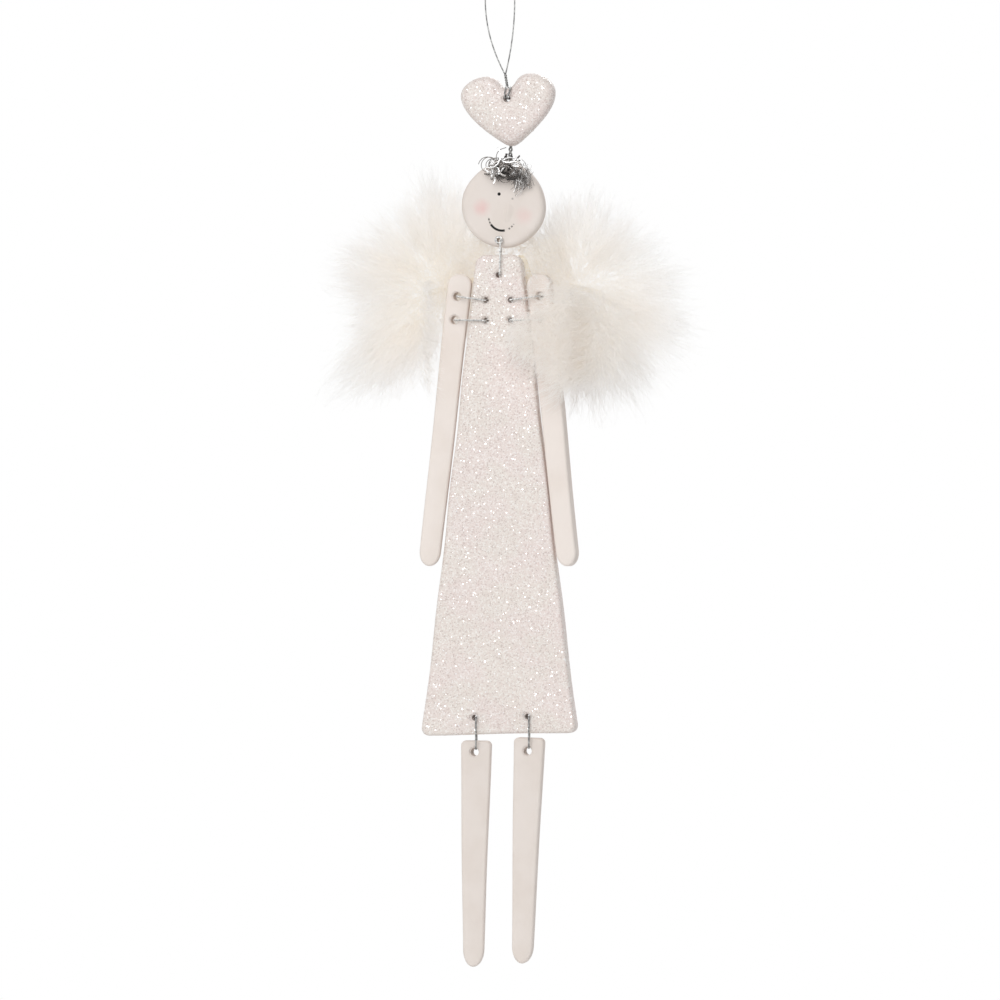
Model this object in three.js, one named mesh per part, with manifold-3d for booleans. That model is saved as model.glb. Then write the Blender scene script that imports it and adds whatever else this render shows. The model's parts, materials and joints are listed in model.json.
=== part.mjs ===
// A clay angel that hangs from a wire loop: heart, head, dress, arms and legs are flat clay pieces
// linked by bent wire, with two puffs of down glued to the back of the dress as wings.
// Millimetres, +Z up, the front faces -Y, left and right are the viewer's.
// The origin is the top of the hanging loop, on the inside of the wire, where a hook takes it.
import * as THREE from "three";
import { mergeVertices } from "three/addons/utils/BufferGeometryUtils.js";
import Module from "manifold-3d";

// Clay sheet
const HEART_THICKNESS = 5.4;
const HEAD_THICKNESS = 4.5;
const DRESS_THICKNESS = 5;
const LIMB_THICKNESS = 4.5;
const HEART_EDGE = 1.9;
const HEAD_EDGE = 1.4;
const DRESS_EDGE = 1.3;
const LIMB_EDGE = 1.2;

// Wire
const WIRE_DIAMETER = 0.5;
const LOOP_WIRE_DIAMETER = 0.36;
const HAIR_WIRE_DIAMETER = 0.3;
const BEND_RADIUS = 0.7;

// Clearances
const WIRE_CLEARANCE = 0.7;
const STRAND_GAP = 0.2;
const STUCK_GAP = 0.3;
const ARM_GAP = 0.8;
const LEG_GAP = 1.4;
const NECK_GAP = 1.9;
const HEAD_GAP = 5.2;
const WING_CLEARANCE = 4;

// Hanging loop
const LOOP_WIDTH = 8.1;
const LOOP_LENGTH = 23.5;
const LOOP_TWIST = 2.7;
const LOOP_TWIST_TURNS = 2.25;
const LOOP_TWIST_X = 1.4;

// Heart
const HEART_WIDTH = 24.8;
const HEART_HEIGHT = 17.9;
const HEART_CLEFT = 3.2;
const HEART_HOLE_DROP = 2.7;
const HEART_HOLE_DIAMETER = 2.3;
const HEART_X = 2.4;
const HEART_ROLL = -3.4;
const HEART_LOBE_X = 6.4;
const HEART_WIDEST_DROP = 4.5;
const HEART_CLEFT_REACH = 2.2;
const HEART_LOBE_REACH = 3.5;
const HEART_SIDE_REACH = 2.6;
const HEART_FLANK_REACH = 3.9;
const HEART_FLANK_X = 7.7;
const HEART_FLANK_RISE = 4.6;
const HEART_TIP_HALF = 4.2;
const HEART_TIP_RISE = 2.2;
const HEART_TIP_REACH = 1.7;

// Wire from the heart to the head
const SHANK_TURNS = 4.75;
const SHANK_DROP = 2.2;

// Head
const HEAD_WIDTH = 22.8;
const HEAD_HEIGHT = 23;
const HEAD_X = 1.1;
const HEAD_ROLL = 5;
const HEAD_HOLE_INSET = 1.7;
const CHIN_FULLNESS = 0.025;
const HOLE_DIAMETER = 1.9;
const NOSE_WIDTH = 2.2;
const NOSE_LENGTH = 6.2;
const NOSE_HEIGHT = 0.9;
const NOSE_X = 1.7;
const NOSE_DROP = 2.2;

// Hair
const CURL_DIAMETER = 2.9;
const CURL_COUNT = 8;
const CURL_START_ANGLE = -38;
const CURL_END_ANGLE = 6;
const CURL_END_INSET = 4.2;
const CURL_OVERRUN = 1.1;
const TINSEL_WIDTH = 10.4;
const TINSEL_LENGTH = 11.6;
const TINSEL_DEPTH = 6;
const TINSEL_X = 4.3;
const TINSEL_DROP = 3.2;
const TINSEL_LIFT = 1.2;
const TINSEL_LUMP = 0.07;
const TINSEL_LUMP_X = 7;
const TINSEL_LUMP_Z = 6;

// Dress
const DRESS_LENGTH = 129.9;
const DRESS_TOP_WIDTH = 12.2;
const DRESS_HEM_WIDTH = 41.8;
const DRESS_TOP_CORNER = 3.2;
const DRESS_HEM_CORNER = 2.8;
const HEM_SKEW = 1;
const NECK_HOLE_INSET = 5.5;
const SHOULDER_HOLE_X = 3.4;
const SHOULDER_HOLE_DROP = 12.3;
const SHOULDER_HOLE_PITCH = 5.5;
const HEM_HOLE_INSET = 4.6;
const LEG_PITCH = 14.6;
const LEG_SHIFT = 0.75;

// Arms
const ARM_LENGTH = 78.6;
const ARM_TOP_WIDTH = 6.4;
const ARM_TIP_WIDTH = 5.6;
const ARM_TIP_LENGTH = 4;
const ARM_TOP_CORNER = 2.9;
const ARM_DROP = 5.3;
const ARM_HOLE_INSET = 6;
const ARM_HOLE_PITCH = 6.4;

// Legs
const LEG_LENGTH = 61;
const LEG_TOP_WIDTH = 8.8;
const LEG_TIP_WIDTH = 6.2;
const LEG_TIP_LENGTH = 5.5;
const LEG_TOP_CORNER = 1.7;
const LEG_HOLE_INSET = 3.3;
const LEFT_LEG_ROLL = 0.8;
const RIGHT_LEG_ROLL = 1.9;

// Wings: plumes fan out from a root behind each shoulder, angles counted from straight up, outwards
const WING_ROOT_X = 17.6;
const WING_ROOT_DROP = 8.5;
const PLUME_WIDTH = 15;
const PLUME_DEPTH = 15;
const PLUME_FULLNESS = 1.25;
const PLUME_ANGLES = [4, 40, 76, 103, 130, 158, 180];
const LEFT_PLUME_LENGTHS = [28, 25, 32, 29, 41, 31, 25];
const RIGHT_PLUME_LENGTHS = [27.5, 23, 26, 32, 31, 31.5, 28];
const QUILL_DIAMETER = 1.6;
const QUILL_REACH = 7;
const QUILL_SEAT = 1.8;
const QUILL_BOW = 1.5;
const GLUE_X = 4;
const GLUE_DROP = 5.4;
const GLUE_WIDTH = 4.4;
const GLUE_HEIGHT = 9;
const GLUE_DEPTH = 3;

// Fineness of the facets
const EDGE_STEPS = 2;
const CURVE_STEPS = 6;
const HEAD_STEPS = 32;
const HOLE_SIDES = 12;
const WIRE_SIDES = 6;
const CURL_SIDES = 5;
const CURL_STEPS = 8;
const TWIST_STEPS = 6;
const BEND_STEPS = 3;
const PLUME_STEPS = 7;
const PLUME_SIDES = 10;
const MERGE_TOLERANCE = 1e-4;

const wasm = await Module();
wasm.setup();

const rad = THREE.MathUtils.degToRad;
const vec = (x, y, z) => new THREE.Vector3(x, y, z);

// A direction that no wire starts along
const ASKEW = vec(1, 0.5, 3);

// How far a bent wire's middle stays from the corner of the bend
const bendCut = BEND_RADIUS * (1 - Math.SQRT1_2);

// A closed skin as a solid that can be joined and cut.
function toSolid(geometry) {
  const bare = new THREE.BufferGeometry();
  bare.setAttribute("position", geometry.getAttribute("position"));
  bare.setIndex(geometry.index);
  const merged = mergeVertices(bare, MERGE_TOLERANCE);
  const skin = new wasm.Mesh({
    numProp: 3,
    vertProperties: merged.attributes.position.array,
    triVerts: new Uint32Array(merged.index.array),
  });
  return new wasm.Manifold(skin);
}

// A solid back as geometry for a mesh.
function toGeometry(solid) {
  const skin = solid.getMesh();
  const geometry = new THREE.BufferGeometry();
  geometry.setAttribute("position", new THREE.BufferAttribute(skin.vertProperties, 3));
  geometry.setIndex(new THREE.BufferAttribute(skin.triVerts, 1));
  geometry.computeVertexNormals();
  return geometry;
}

// A clay sheet cut to an outline in X and Z, centred on Y, with its edges rounded by hand.
function slab(outline, thickness, edge) {
  const flat = thickness - 2 * edge;
  const geometry = new THREE.ExtrudeGeometry(outline, {
    depth: flat,
    steps: 1,
    curveSegments: CURVE_STEPS,
    bevelEnabled: true,
    bevelThickness: edge,
    bevelSize: edge,
    bevelOffset: -edge,
    bevelSegments: EDGE_STEPS,
  });
  geometry.translate(0, 0, -flat / 2);
  geometry.rotateX(Math.PI / 2);
  return toSolid(geometry);
}

// The same slab with a round hole pushed through it at each [x, z].
function pierced(solid, holes, diameter, thickness) {
  return holes.reduce((left, [x, z]) => {
    const punch = new THREE.CylinderGeometry(diameter / 2, diameter / 2, 2 * thickness, HOLE_SIDES);
    punch.translate(x, 0, z);
    return left.subtract(toSolid(punch));
  }, solid);
}

// A round wire along a list of points: a ring of corners at each point, carried without spin.
// A closed wire spreads the turn that is left at the join; an open one gets a cap at each end.
function wire(points, diameter, sides, closed) {
  const count = points.length;
  const at = (i) => points[closed ? (i + count) % count : Math.min(Math.max(i, 0), count - 1)];
  const along = points.map((_, i) => at(i + 1).clone().sub(at(i - 1)).normalize());
  const carry = (v, from, to) => {
    const turn = new THREE.Quaternion().setFromUnitVectors(from, to);
    return v.clone().applyQuaternion(turn);
  };
  const across = [ASKEW.clone().cross(along[0]).normalize()];
  for (let i = 1; i < count; i++) {
    across.push(carry(across[i - 1], along[i - 1], along[i]));
  }
  const home = carry(across[count - 1], along[count - 1], along[0]);
  const drift = Math.atan2(home.clone().cross(across[0]).dot(along[0]), home.dot(across[0]));
  const position = [];
  points.forEach((point, i) => {
    const up = across[i].clone();
    const side = along[i].clone().cross(up);
    for (let j = 0; j < sides; j++) {
      const angle = (2 * Math.PI * j) / sides + (closed ? (drift * i) / count : 0);
      const corner = point.clone();
      corner.addScaledVector(up, (Math.cos(angle) * diameter) / 2);
      corner.addScaledVector(side, (Math.sin(angle) * diameter) / 2);
      position.push(...corner.toArray());
    }
  });
  const index = [];
  const spans = closed ? count : count - 1;
  for (let i = 0; i < spans; i++) {
    const near = i * sides;
    const far = ((i + 1) % count) * sides;
    for (let j = 0; j < sides; j++) {
      const k = (j + 1) % sides;
      index.push(near + j, near + k, far + j);
      index.push(near + k, far + k, far + j);
    }
  }
  if (!closed) {
    const last = (count - 1) * sides;
    for (let j = 1; j + 1 < sides; j++) {
      index.push(0, j + 1, j);
      index.push(last, last + j, last + j + 1);
    }
  }
  const geometry = new THREE.BufferGeometry();
  geometry.setAttribute("position", new THREE.Float32BufferAttribute(position, 3));
  geometry.setIndex(index);
  geometry.computeVertexNormals();
  return geometry;
}

// The points of a wire ring that runs through two holes and along both faces of the clay between them.
function ringPoints(holeA, holeB, halfDepth) {
  const along = holeB.clone().sub(holeA);
  const length = along.length();
  along.normalize();
  const corners = [
    [length - BEND_RADIUS, BEND_RADIUS - halfDepth],
    [length - BEND_RADIUS, halfDepth - BEND_RADIUS],
    [BEND_RADIUS, halfDepth - BEND_RADIUS],
    [BEND_RADIUS, BEND_RADIUS - halfDepth],
  ];
  return corners.flatMap(([run, depth], corner) =>
    Array.from({ length: BEND_STEPS + 1 }, (_, i) => {
      const angle = rad(90 * (corner - 1 + i / BEND_STEPS));
      const point = holeA.clone().addScaledVector(along, run + BEND_RADIUS * Math.cos(angle));
      point.y += depth + BEND_RADIUS * Math.sin(angle);
      return point;
    }),
  );
}

// One strand of a twisted pair, from top to bottom, starting at an angle counted from +X towards +Y.
function twistStrand(top, bottom, radius, turns, start) {
  const steps = Math.round(TWIST_STEPS * turns);
  return Array.from({ length: steps + 1 }, (_, i) => {
    const angle = start + (2 * Math.PI * turns * i) / steps;
    const point = top.clone().lerp(bottom, i / steps);
    return point.add(vec(radius * Math.cos(angle), radius * Math.sin(angle), 0));
  });
}

// How far from the middle of a clay sheet a strand runs that crosses its face.
const strandDepth = (thickness, diameter) => thickness / 2 + WIRE_CLEARANCE + diameter / 2;

const root = new THREE.Group();

const CLAY = { color: "#ece3dc", roughness: 0.85, metalness: 0 };
const GLITTER = { color: "#e8ddd7", roughness: 0.5, metalness: 0.1 };
const SILVER = { color: "#a2a2a0", roughness: 0.3, metalness: 1 };
const TINSEL = { color: "#8f8d8b", roughness: 0.25, metalness: 1 };
const DOWN = { color: "#f5f1ec", roughness: 0.95, metalness: 0 };
const QUILL = { color: "#efe4c8", roughness: 0.6, metalness: 0 };
const GLUE = { color: "#ead9b4", roughness: 0.45, metalness: 0 };

function add(name, geometry, look, place, roll) {
  const mesh = new THREE.Mesh(geometry, new THREE.MeshStandardMaterial(look));
  mesh.name = name;
  if (place) mesh.position.copy(place);
  if (roll) mesh.rotation.y = rad(roll);
  root.add(mesh);
}

// A point of a piece that is turned about its own centre and placed.
const turned = (place, roll, x, z) => vec(x, 0, z).applyAxisAngle(vec(0, 1, 0), rad(roll)).add(place);

// Where the pieces of the chain hang, from the loop down
const eyeRise = BEND_RADIUS + WIRE_CLEARANCE + LOOP_WIRE_DIAMETER / 2;
const heartHole = vec(HEART_X, 0, -(LOOP_LENGTH + LOOP_TWIST + eyeRise + HEART_HOLE_DROP));
const heartTop = HEART_HOLE_DROP + HEART_CLEFT;
const heartTip = heartTop - HEART_HEIGHT;
const headTop = heartHole.z + heartTip - HEAD_GAP;
const headCentre = vec(HEAD_X, 0, headTop - HEAD_HEIGHT / 2);
const headHoleRise = HEAD_HEIGHT / 2 - HEAD_HOLE_INSET;
const crownHole = turned(headCentre, HEAD_ROLL, 0, headHoleRise);
const chinHole = turned(headCentre, HEAD_ROLL, 0, -headHoleRise);
const dressTop = headTop - HEAD_HEIGHT - NECK_GAP;
const neckHole = vec(0, 0, dressTop - NECK_HOLE_INSET);
const hem = dressTop - DRESS_LENGTH;

// Hanging loop: a teardrop of thin wire, twisted on itself, with an eye through the heart's hole.
const loopRadius = LOOP_WIRE_DIAMETER / 2;
const loopTwistRadius = (LOOP_WIRE_DIAMETER + STRAND_GAP) / 2;
const holeSplit = (WIRE_DIAMETER + LOOP_WIRE_DIAMETER) / 4 + STRAND_GAP;
{
  const half = LOOP_WIDTH / 2;
  const archZ = loopRadius - half;
  const twistTop = vec(LOOP_TWIST_X, 0, -LOOP_LENGTH);
  const twistBottom = vec(HEART_X - holeSplit, 0, -LOOP_LENGTH - LOOP_TWIST);
  const archSteps = 2 * CURVE_STEPS;
  const arch = Array.from({ length: archSteps + 1 }, (_, i) => {
    const angle = (Math.PI * i) / archSteps;
    return vec(half * Math.cos(angle), 0, archZ + half * Math.sin(angle));
  });
  // A strand bows in from the arch to the twist, slowly at first.
  const bowed = (side) =>
    Array.from({ length: CURVE_STEPS - 1 }, (_, i) => {
      const share = (i + 1) / CURVE_STEPS;
      const end = LOOP_TWIST_X + side * loopTwistRadius;
      const x = side * half + (end - side * half) * share ** 2;
      return vec(x, 0, archZ + (-LOOP_LENGTH - archZ) * share);
    });
  const depth = strandDepth(HEART_THICKNESS, LOOP_WIRE_DIAMETER);
  const x = heartHole.x - holeSplit;
  const z = heartHole.z;
  const shoulders = Array.from({ length: BEND_STEPS }, (_, i) => rad((90 * (i + 1)) / BEND_STEPS));
  const eyeHalf = (side) => [
    ...shoulders.map((angle) => {
      const fall = 2 * BEND_RADIUS * (1 - Math.cos(angle));
      return vec(x, side * depth * Math.sin(angle), twistBottom.z - fall);
    }),
    vec(x, side * depth, z + BEND_RADIUS),
    vec(x, side * (depth - bendCut), z + bendCut),
    vec(x, side * (depth - BEND_RADIUS), z),
  ];
  const right = twistStrand(twistTop, twistBottom, loopTwistRadius, LOOP_TWIST_TURNS, 0);
  const left = twistStrand(twistTop, twistBottom, loopTwistRadius, LOOP_TWIST_TURNS, Math.PI);
  const path = [
    ...arch.toReversed(),
    ...bowed(1),
    ...right,
    ...eyeHalf(1),
    ...eyeHalf(-1).toReversed(),
    ...left.toReversed(),
    ...bowed(-1).toReversed(),
  ];
  add("hanging_loop", wire(path, LOOP_WIRE_DIAMETER, WIRE_SIDES, true), SILVER);
}

// Heart: two round lobes, a soft cleft and a blunt tip, with its hole under the cleft.
{
  const half = HEART_WIDTH / 2;
  const cleft = HEART_HOLE_DROP;
  const lobe = HEART_LOBE_X;
  const widest = heartTop - HEART_WIDEST_DROP;
  const flank = heartTip + HEART_FLANK_RISE;
  const tipSide = heartTip + HEART_TIP_RISE;
  const right = new THREE.Path().moveTo(0, cleft);
  right.bezierCurveTo(HEART_CLEFT_REACH, cleft, HEART_CLEFT_REACH, heartTop, lobe, heartTop);
  right.bezierCurveTo(lobe + HEART_LOBE_REACH, heartTop, half, widest + HEART_SIDE_REACH, half, widest);
  right.bezierCurveTo(half, widest - HEART_FLANK_REACH, HEART_FLANK_X, flank, HEART_TIP_HALF, tipSide);
  right.quadraticCurveTo(HEART_TIP_REACH, heartTip, 0, heartTip);
  const points = right.getPoints(CURVE_STEPS);
  const mirrored = points.slice(1, -1).toReversed();
  const outline = new THREE.Shape([...points, ...mirrored.map((p) => new THREE.Vector2(-p.x, p.y))]);
  const sheet = slab(outline, HEART_THICKNESS, HEART_EDGE);
  const body = pierced(sheet, [[0, 0]], HEART_HOLE_DIAMETER, HEART_THICKNESS);
  add("heart", toGeometry(body), GLITTER, heartHole, HEART_ROLL);
}

// Wire from the heart to the head: through the heart's hole, over its cleft, twisted down its back
// and closed in an eye through the head's crown hole.
const shankBottom = headTop + BEND_RADIUS + WIRE_CLEARANCE + WIRE_DIAMETER / 2;
{
  const depth = strandDepth(HEART_THICKNESS, WIRE_DIAMETER);
  const twistRadius = (WIRE_DIAMETER + STRAND_GAP) / 2;
  const shankDepth = HEART_THICKNESS / 2 + WIRE_CLEARANCE + WIRE_DIAMETER / 2 + twistRadius;
  const x = heartHole.x + holeSplit;
  const z = heartHole.z;
  const over = x + WIRE_DIAMETER;
  const cleft = z + HEART_HOLE_DROP;
  const crest = cleft + WIRE_CLEARANCE + WIRE_DIAMETER + BEND_RADIUS / 2;
  const shankTop = vec(x, shankDepth, z - SHANK_DROP);
  const shankEnd = vec(crownHole.x, shankDepth, shankBottom);
  const rising = [
    vec(x, depth, z - BEND_RADIUS),
    vec(x, depth - bendCut, z - bendCut),
    vec(x, depth - BEND_RADIUS, z),
    vec(x, BEND_RADIUS - depth, z),
    vec(x, bendCut - depth, z + bendCut),
    vec(x, -depth, z + BEND_RADIUS),
    vec(over, -depth, cleft),
    vec(over, BEND_RADIUS - depth, crest - BEND_RADIUS / 2),
    vec(over, 0, crest),
    vec(over, depth - BEND_RADIUS, crest - BEND_RADIUS / 2),
    vec(over, depth, cleft),
    vec(over, depth, z),
  ];
  const headDepth = strandDepth(HEAD_THICKNESS, WIRE_DIAMETER);
  const lift = headTop + WIRE_CLEARANCE + WIRE_DIAMETER / 2;
  const hole = crownHole;
  const eye = [
    vec(hole.x, headDepth / 2, lift + BEND_RADIUS / 2),
    vec(hole.x, -headDepth / 2, lift + BEND_RADIUS / 3),
    vec(hole.x, BEND_RADIUS / 3 - headDepth, lift - BEND_RADIUS / 2),
    vec(hole.x, -headDepth, hole.z + BEND_RADIUS),
    vec(hole.x, bendCut - headDepth, hole.z + bendCut),
    vec(hole.x, BEND_RADIUS - headDepth, hole.z),
    vec(hole.x, headDepth - BEND_RADIUS, hole.z),
    vec(hole.x, headDepth - bendCut, hole.z + bendCut),
    vec(hole.x, headDepth, hole.z + BEND_RADIUS),
  ];
  const fall = twistStrand(shankTop, shankEnd, twistRadius, SHANK_TURNS, 0);
  const rise = twistStrand(shankTop, shankEnd, twistRadius, SHANK_TURNS, Math.PI);
  const path = [...rising, ...fall, ...eye, ...rise.toReversed()];
  add("heart_link", wire(path, WIRE_DIAMETER, WIRE_SIDES, true), SILVER);
}

// Head: a nearly round disc, a little fuller at the chin, holed at crown and chin.
{
  const outline = new THREE.Shape(
    Array.from({ length: HEAD_STEPS }, (_, i) => {
      const angle = (2 * Math.PI * i) / HEAD_STEPS;
      const half = (HEAD_WIDTH / 2) * (1 - CHIN_FULLNESS * Math.sin(angle));
      return new THREE.Vector2(half * Math.cos(angle), (HEAD_HEIGHT / 2) * Math.sin(angle));
    }),
  );
  const holes = [
    [0, headHoleRise],
    [0, -headHoleRise],
  ];
  const sheet = slab(outline, HEAD_THICKNESS, HEAD_EDGE);
  const body = pierced(sheet, holes, HOLE_DIAMETER, HEAD_THICKNESS);
  add("head", toGeometry(body), CLAY, headCentre, HEAD_ROLL);
}

// Nose: a clay pellet pressed on the face, flat at the back.
{
  const pellet = new THREE.SphereGeometry(1, 2 * CURVE_STEPS, CURVE_STEPS);
  pellet.scale(NOSE_WIDTH / 2, NOSE_HEIGHT, NOSE_LENGTH / 2);
  const behind = new THREE.BoxGeometry(2 * NOSE_WIDTH, 2 * NOSE_HEIGHT, 2 * NOSE_LENGTH);
  behind.translate(0, NOSE_HEIGHT, 0);
  const body = toGeometry(toSolid(pellet).subtract(toSolid(behind)));
  const place = turned(headCentre, HEAD_ROLL, NOSE_X, -NOSE_DROP);
  place.y = -HEAD_THICKNESS / 2 - STUCK_GAP;
  add("nose", body, CLAY, place, HEAD_ROLL);
}

// Hair: curls of thin wire in one unbroken run from the left of the crown to the middle of the brow.
const curlDepth = HEAD_THICKNESS / 2 + STUCK_GAP + (CURL_DIAMETER + HAIR_WIRE_DIAMETER) / 2;
const curlAxis = (share) => {
  const angle = rad(CURL_START_ANGLE + (CURL_END_ANGLE - CURL_START_ANGLE) * share);
  const reach = HEAD_HEIGHT / 2 - CURL_END_INSET * share ** 2;
  return vec(reach * Math.sin(angle), -curlDepth, reach * Math.cos(angle));
};
{
  const steps = CURL_COUNT * CURL_STEPS;
  const points = Array.from({ length: steps + 1 }, (_, i) => {
    const share = i / steps;
    const ahead = curlAxis(share + 1 / steps).sub(curlAxis(share)).normalize();
    const out = vec(0, 1, 0).cross(ahead).normalize();
    const turn = (2 * Math.PI * i) / CURL_STEPS;
    const point = curlAxis(share).addScaledVector(out, (CURL_DIAMETER / 2) * Math.cos(turn));
    point.y -= (CURL_DIAMETER / 2) * Math.sin(turn);
    return point;
  });
  let least = Infinity;
  points.forEach((p, i) => {
    points.slice(i + CURL_STEPS / 2).forEach((q) => {
      least = Math.min(least, p.distanceTo(q) - HAIR_WIRE_DIAMETER);
    });
  });
  console.log("least gap between hair curls, mm: " + least.toFixed(2));
  const curls = wire(points, HAIR_WIRE_DIAMETER, CURL_SIDES, false);
  add("hair_curls", curls, TINSEL, headCentre, HEAD_ROLL);
}

// Hair: a tuft of crimped tinsel on the crown, parted round the curls and the wire that carries the head.
{
  const tuft = new THREE.SphereGeometry(1, 3 * CURVE_STEPS, 2 * CURVE_STEPS);
  const position = tuft.getAttribute("position");
  const point = new THREE.Vector3();
  for (let i = 0; i < position.count; i++) {
    point.fromBufferAttribute(position, i);
    const lump = Math.cos(TINSEL_LUMP_X * point.x) * Math.cos(TINSEL_LUMP_Z * point.z);
    position.setXYZ(i, ...point.multiplyScalar(1 + TINSEL_LUMP * lump).toArray());
  }
  tuft.scale(TINSEL_WIDTH / 2, TINSEL_DEPTH / 2, TINSEL_LENGTH / 2);
  const face = HEAD_THICKNESS / 2 + STUCK_GAP;
  tuft.translate(TINSEL_X, -face - TINSEL_LIFT, HEAD_HEIGHT / 2 - TINSEL_DROP);
  const disc = new THREE.CylinderGeometry(1, 1, 2 * face, HEAD_STEPS);
  disc.scale(HEAD_WIDTH / 2 + STUCK_GAP, 1, HEAD_HEIGHT / 2 + STUCK_GAP);
  const strand = strandDepth(HEAD_THICKNESS, WIRE_DIAMETER) + WIRE_DIAMETER / 2;
  const partWidth = 2 * (WIRE_DIAMETER + WIRE_CLEARANCE);
  const partDepth = 2 * (strand + 2 * WIRE_CLEARANCE);
  const parting = new THREE.BoxGeometry(partWidth, partDepth, TINSEL_LENGTH);
  parting.translate(0, 0, headHoleRise + TINSEL_LENGTH / 2 - HOLE_DIAMETER / 2);
  const shares = Array.from({ length: CURVE_STEPS + 1 }, (_, i) => (CURL_OVERRUN * i) / CURVE_STEPS);
  const run = shares.map(curlAxis);
  const nest = wire(run, CURL_DIAMETER + HAIR_WIRE_DIAMETER + 2 * STUCK_GAP, HOLE_SIDES, false);
  const cuts = [disc, parting, nest].map(toSolid);
  const body = cuts.reduce((left, cut) => left.subtract(cut), toSolid(tuft));
  add("hair_tinsel", toGeometry(body), TINSEL, headCentre, HEAD_ROLL);
}

// Wire ring from the chin to the dress.
const ringDepth = strandDepth(Math.max(DRESS_THICKNESS, HEAD_THICKNESS, LIMB_THICKNESS), WIRE_DIAMETER);
const ring = (holeA, holeB) => wire(ringPoints(holeA, holeB, ringDepth), WIRE_DIAMETER, WIRE_SIDES, true);
add("neck_link", ring(chinHole, neckHole), SILVER);

// Dress: a long slab that widens evenly to the hem, rounded at its corners.
const flare = (DRESS_HEM_WIDTH - DRESS_TOP_WIDTH) / 2 / DRESS_LENGTH;
const dressHalf = (drop) => DRESS_TOP_WIDTH / 2 + flare * drop;
const shoulderDrops = [SHOULDER_HOLE_DROP, SHOULDER_HOLE_DROP + SHOULDER_HOLE_PITCH];
const legX = { left: LEG_SHIFT - LEG_PITCH / 2, right: LEG_SHIFT + LEG_PITCH / 2 };
const hemAt = (x) => hem + HEM_SKEW * (0.5 + x / DRESS_HEM_WIDTH);
const hemHole = (x) => vec(x, 0, hemAt(x) + HEM_HOLE_INSET);
{
  const top = dressTop - neckHole.z;
  const side = (sign, z) => [sign * dressHalf(top - z), z];
  const foot = (sign) => hemAt((sign * DRESS_HEM_WIDTH) / 2) - neckHole.z;
  const topFlat = dressHalf(0) - DRESS_TOP_CORNER;
  const footHalf = DRESS_HEM_WIDTH / 2;
  const footFlat = footHalf - DRESS_HEM_CORNER;
  const outline = new THREE.Shape();
  outline.moveTo(-topFlat, top);
  outline.lineTo(topFlat, top);
  outline.quadraticCurveTo(dressHalf(0), top, ...side(1, top - DRESS_TOP_CORNER));
  outline.lineTo(...side(1, foot(1) + DRESS_HEM_CORNER));
  outline.quadraticCurveTo(footHalf, foot(1), footFlat, foot(1));
  outline.lineTo(-footFlat, foot(-1));
  outline.quadraticCurveTo(-footHalf, foot(-1), ...side(-1, foot(-1) + DRESS_HEM_CORNER));
  outline.lineTo(...side(-1, top - DRESS_TOP_CORNER));
  outline.quadraticCurveTo(-dressHalf(0), top, -topFlat, top);
  const holes = [[0, 0]];
  shoulderDrops.forEach((drop) => {
    holes.push([-SHOULDER_HOLE_X, top - drop], [SHOULDER_HOLE_X, top - drop]);
  });
  Object.values(legX).forEach((x) => holes.push([x, hemHole(x).z - neckHole.z]));
  const sheet = slab(outline, DRESS_THICKNESS, DRESS_EDGE);
  const body = pierced(sheet, holes, HOLE_DIAMETER, DRESS_THICKNESS);
  add("dress", toGeometry(body), GLITTER, neckHole);
}

// An arm or a leg about its upper hole: square-shouldered at the top, tapering to a round tip.
function limb({ topWidth, tipWidth, length, inset, corner, tipLength, holes }) {
  const top = topWidth / 2;
  const tip = tipWidth / 2;
  const foot = inset - length;
  const outline = new THREE.Shape();
  outline.moveTo(corner - top, inset);
  outline.absarc(top - corner, inset - corner, corner, Math.PI / 2, 0, true);
  outline.absellipse(0, foot + tipLength, tip, tipLength, 0, Math.PI, true);
  outline.absarc(corner - top, inset - corner, corner, Math.PI, Math.PI / 2, true);
  const sheet = slab(outline, LIMB_THICKNESS, LIMB_EDGE);
  return toGeometry(pierced(sheet, holes, HOLE_DIAMETER, LIMB_THICKNESS));
}

// Arms hang beside the dress, along its sloping sides, each on two wires.
const lean = Math.atan(flare);
for (const [name, side] of [
  ["left", -1],
  ["right", 1],
]) {
  const offset = (ARM_GAP + ARM_TOP_WIDTH / 2) / Math.cos(lean);
  const drop = ARM_DROP + ARM_HOLE_INSET * Math.cos(lean);
  const upper = vec(side * (dressHalf(drop) + offset), 0, dressTop - drop);
  const roll = THREE.MathUtils.radToDeg(-side * lean);
  const arm = limb({
    topWidth: ARM_TOP_WIDTH,
    tipWidth: ARM_TIP_WIDTH,
    length: ARM_LENGTH,
    inset: ARM_HOLE_INSET,
    corner: ARM_TOP_CORNER,
    tipLength: ARM_TIP_LENGTH,
    holes: [
      [0, 0],
      [0, -ARM_HOLE_PITCH],
    ],
  });
  add(name + "_arm", arm, CLAY, upper, roll);
  const lower = turned(upper, roll, 0, -ARM_HOLE_PITCH);
  const dressHoles = shoulderDrops.map((height) => vec(side * SHOULDER_HOLE_X, 0, dressTop - height));
  add(name + "_upper_arm_wire", ring(dressHoles[0], upper), SILVER);
  add(name + "_lower_arm_wire", ring(dressHoles[1], lower), SILVER);
}

// Legs hang under the hem, each on one wire ring.
for (const [name, roll] of [
  ["left", LEFT_LEG_ROLL],
  ["right", RIGHT_LEG_ROLL],
]) {
  const x = legX[name];
  const hole = vec(x, 0, hemAt(x) - LEG_GAP - LEG_HOLE_INSET);
  const leg = limb({
    topWidth: LEG_TOP_WIDTH,
    tipWidth: LEG_TIP_WIDTH,
    length: LEG_LENGTH,
    inset: LEG_HOLE_INSET,
    corner: LEG_TOP_CORNER,
    tipLength: LEG_TIP_LENGTH,
    holes: [[0, 0]],
  });
  add(name + "_leg", leg, CLAY, hole, roll);
  add(name + "_leg_link", ring(hemHole(x), hole), SILVER);
}

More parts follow.
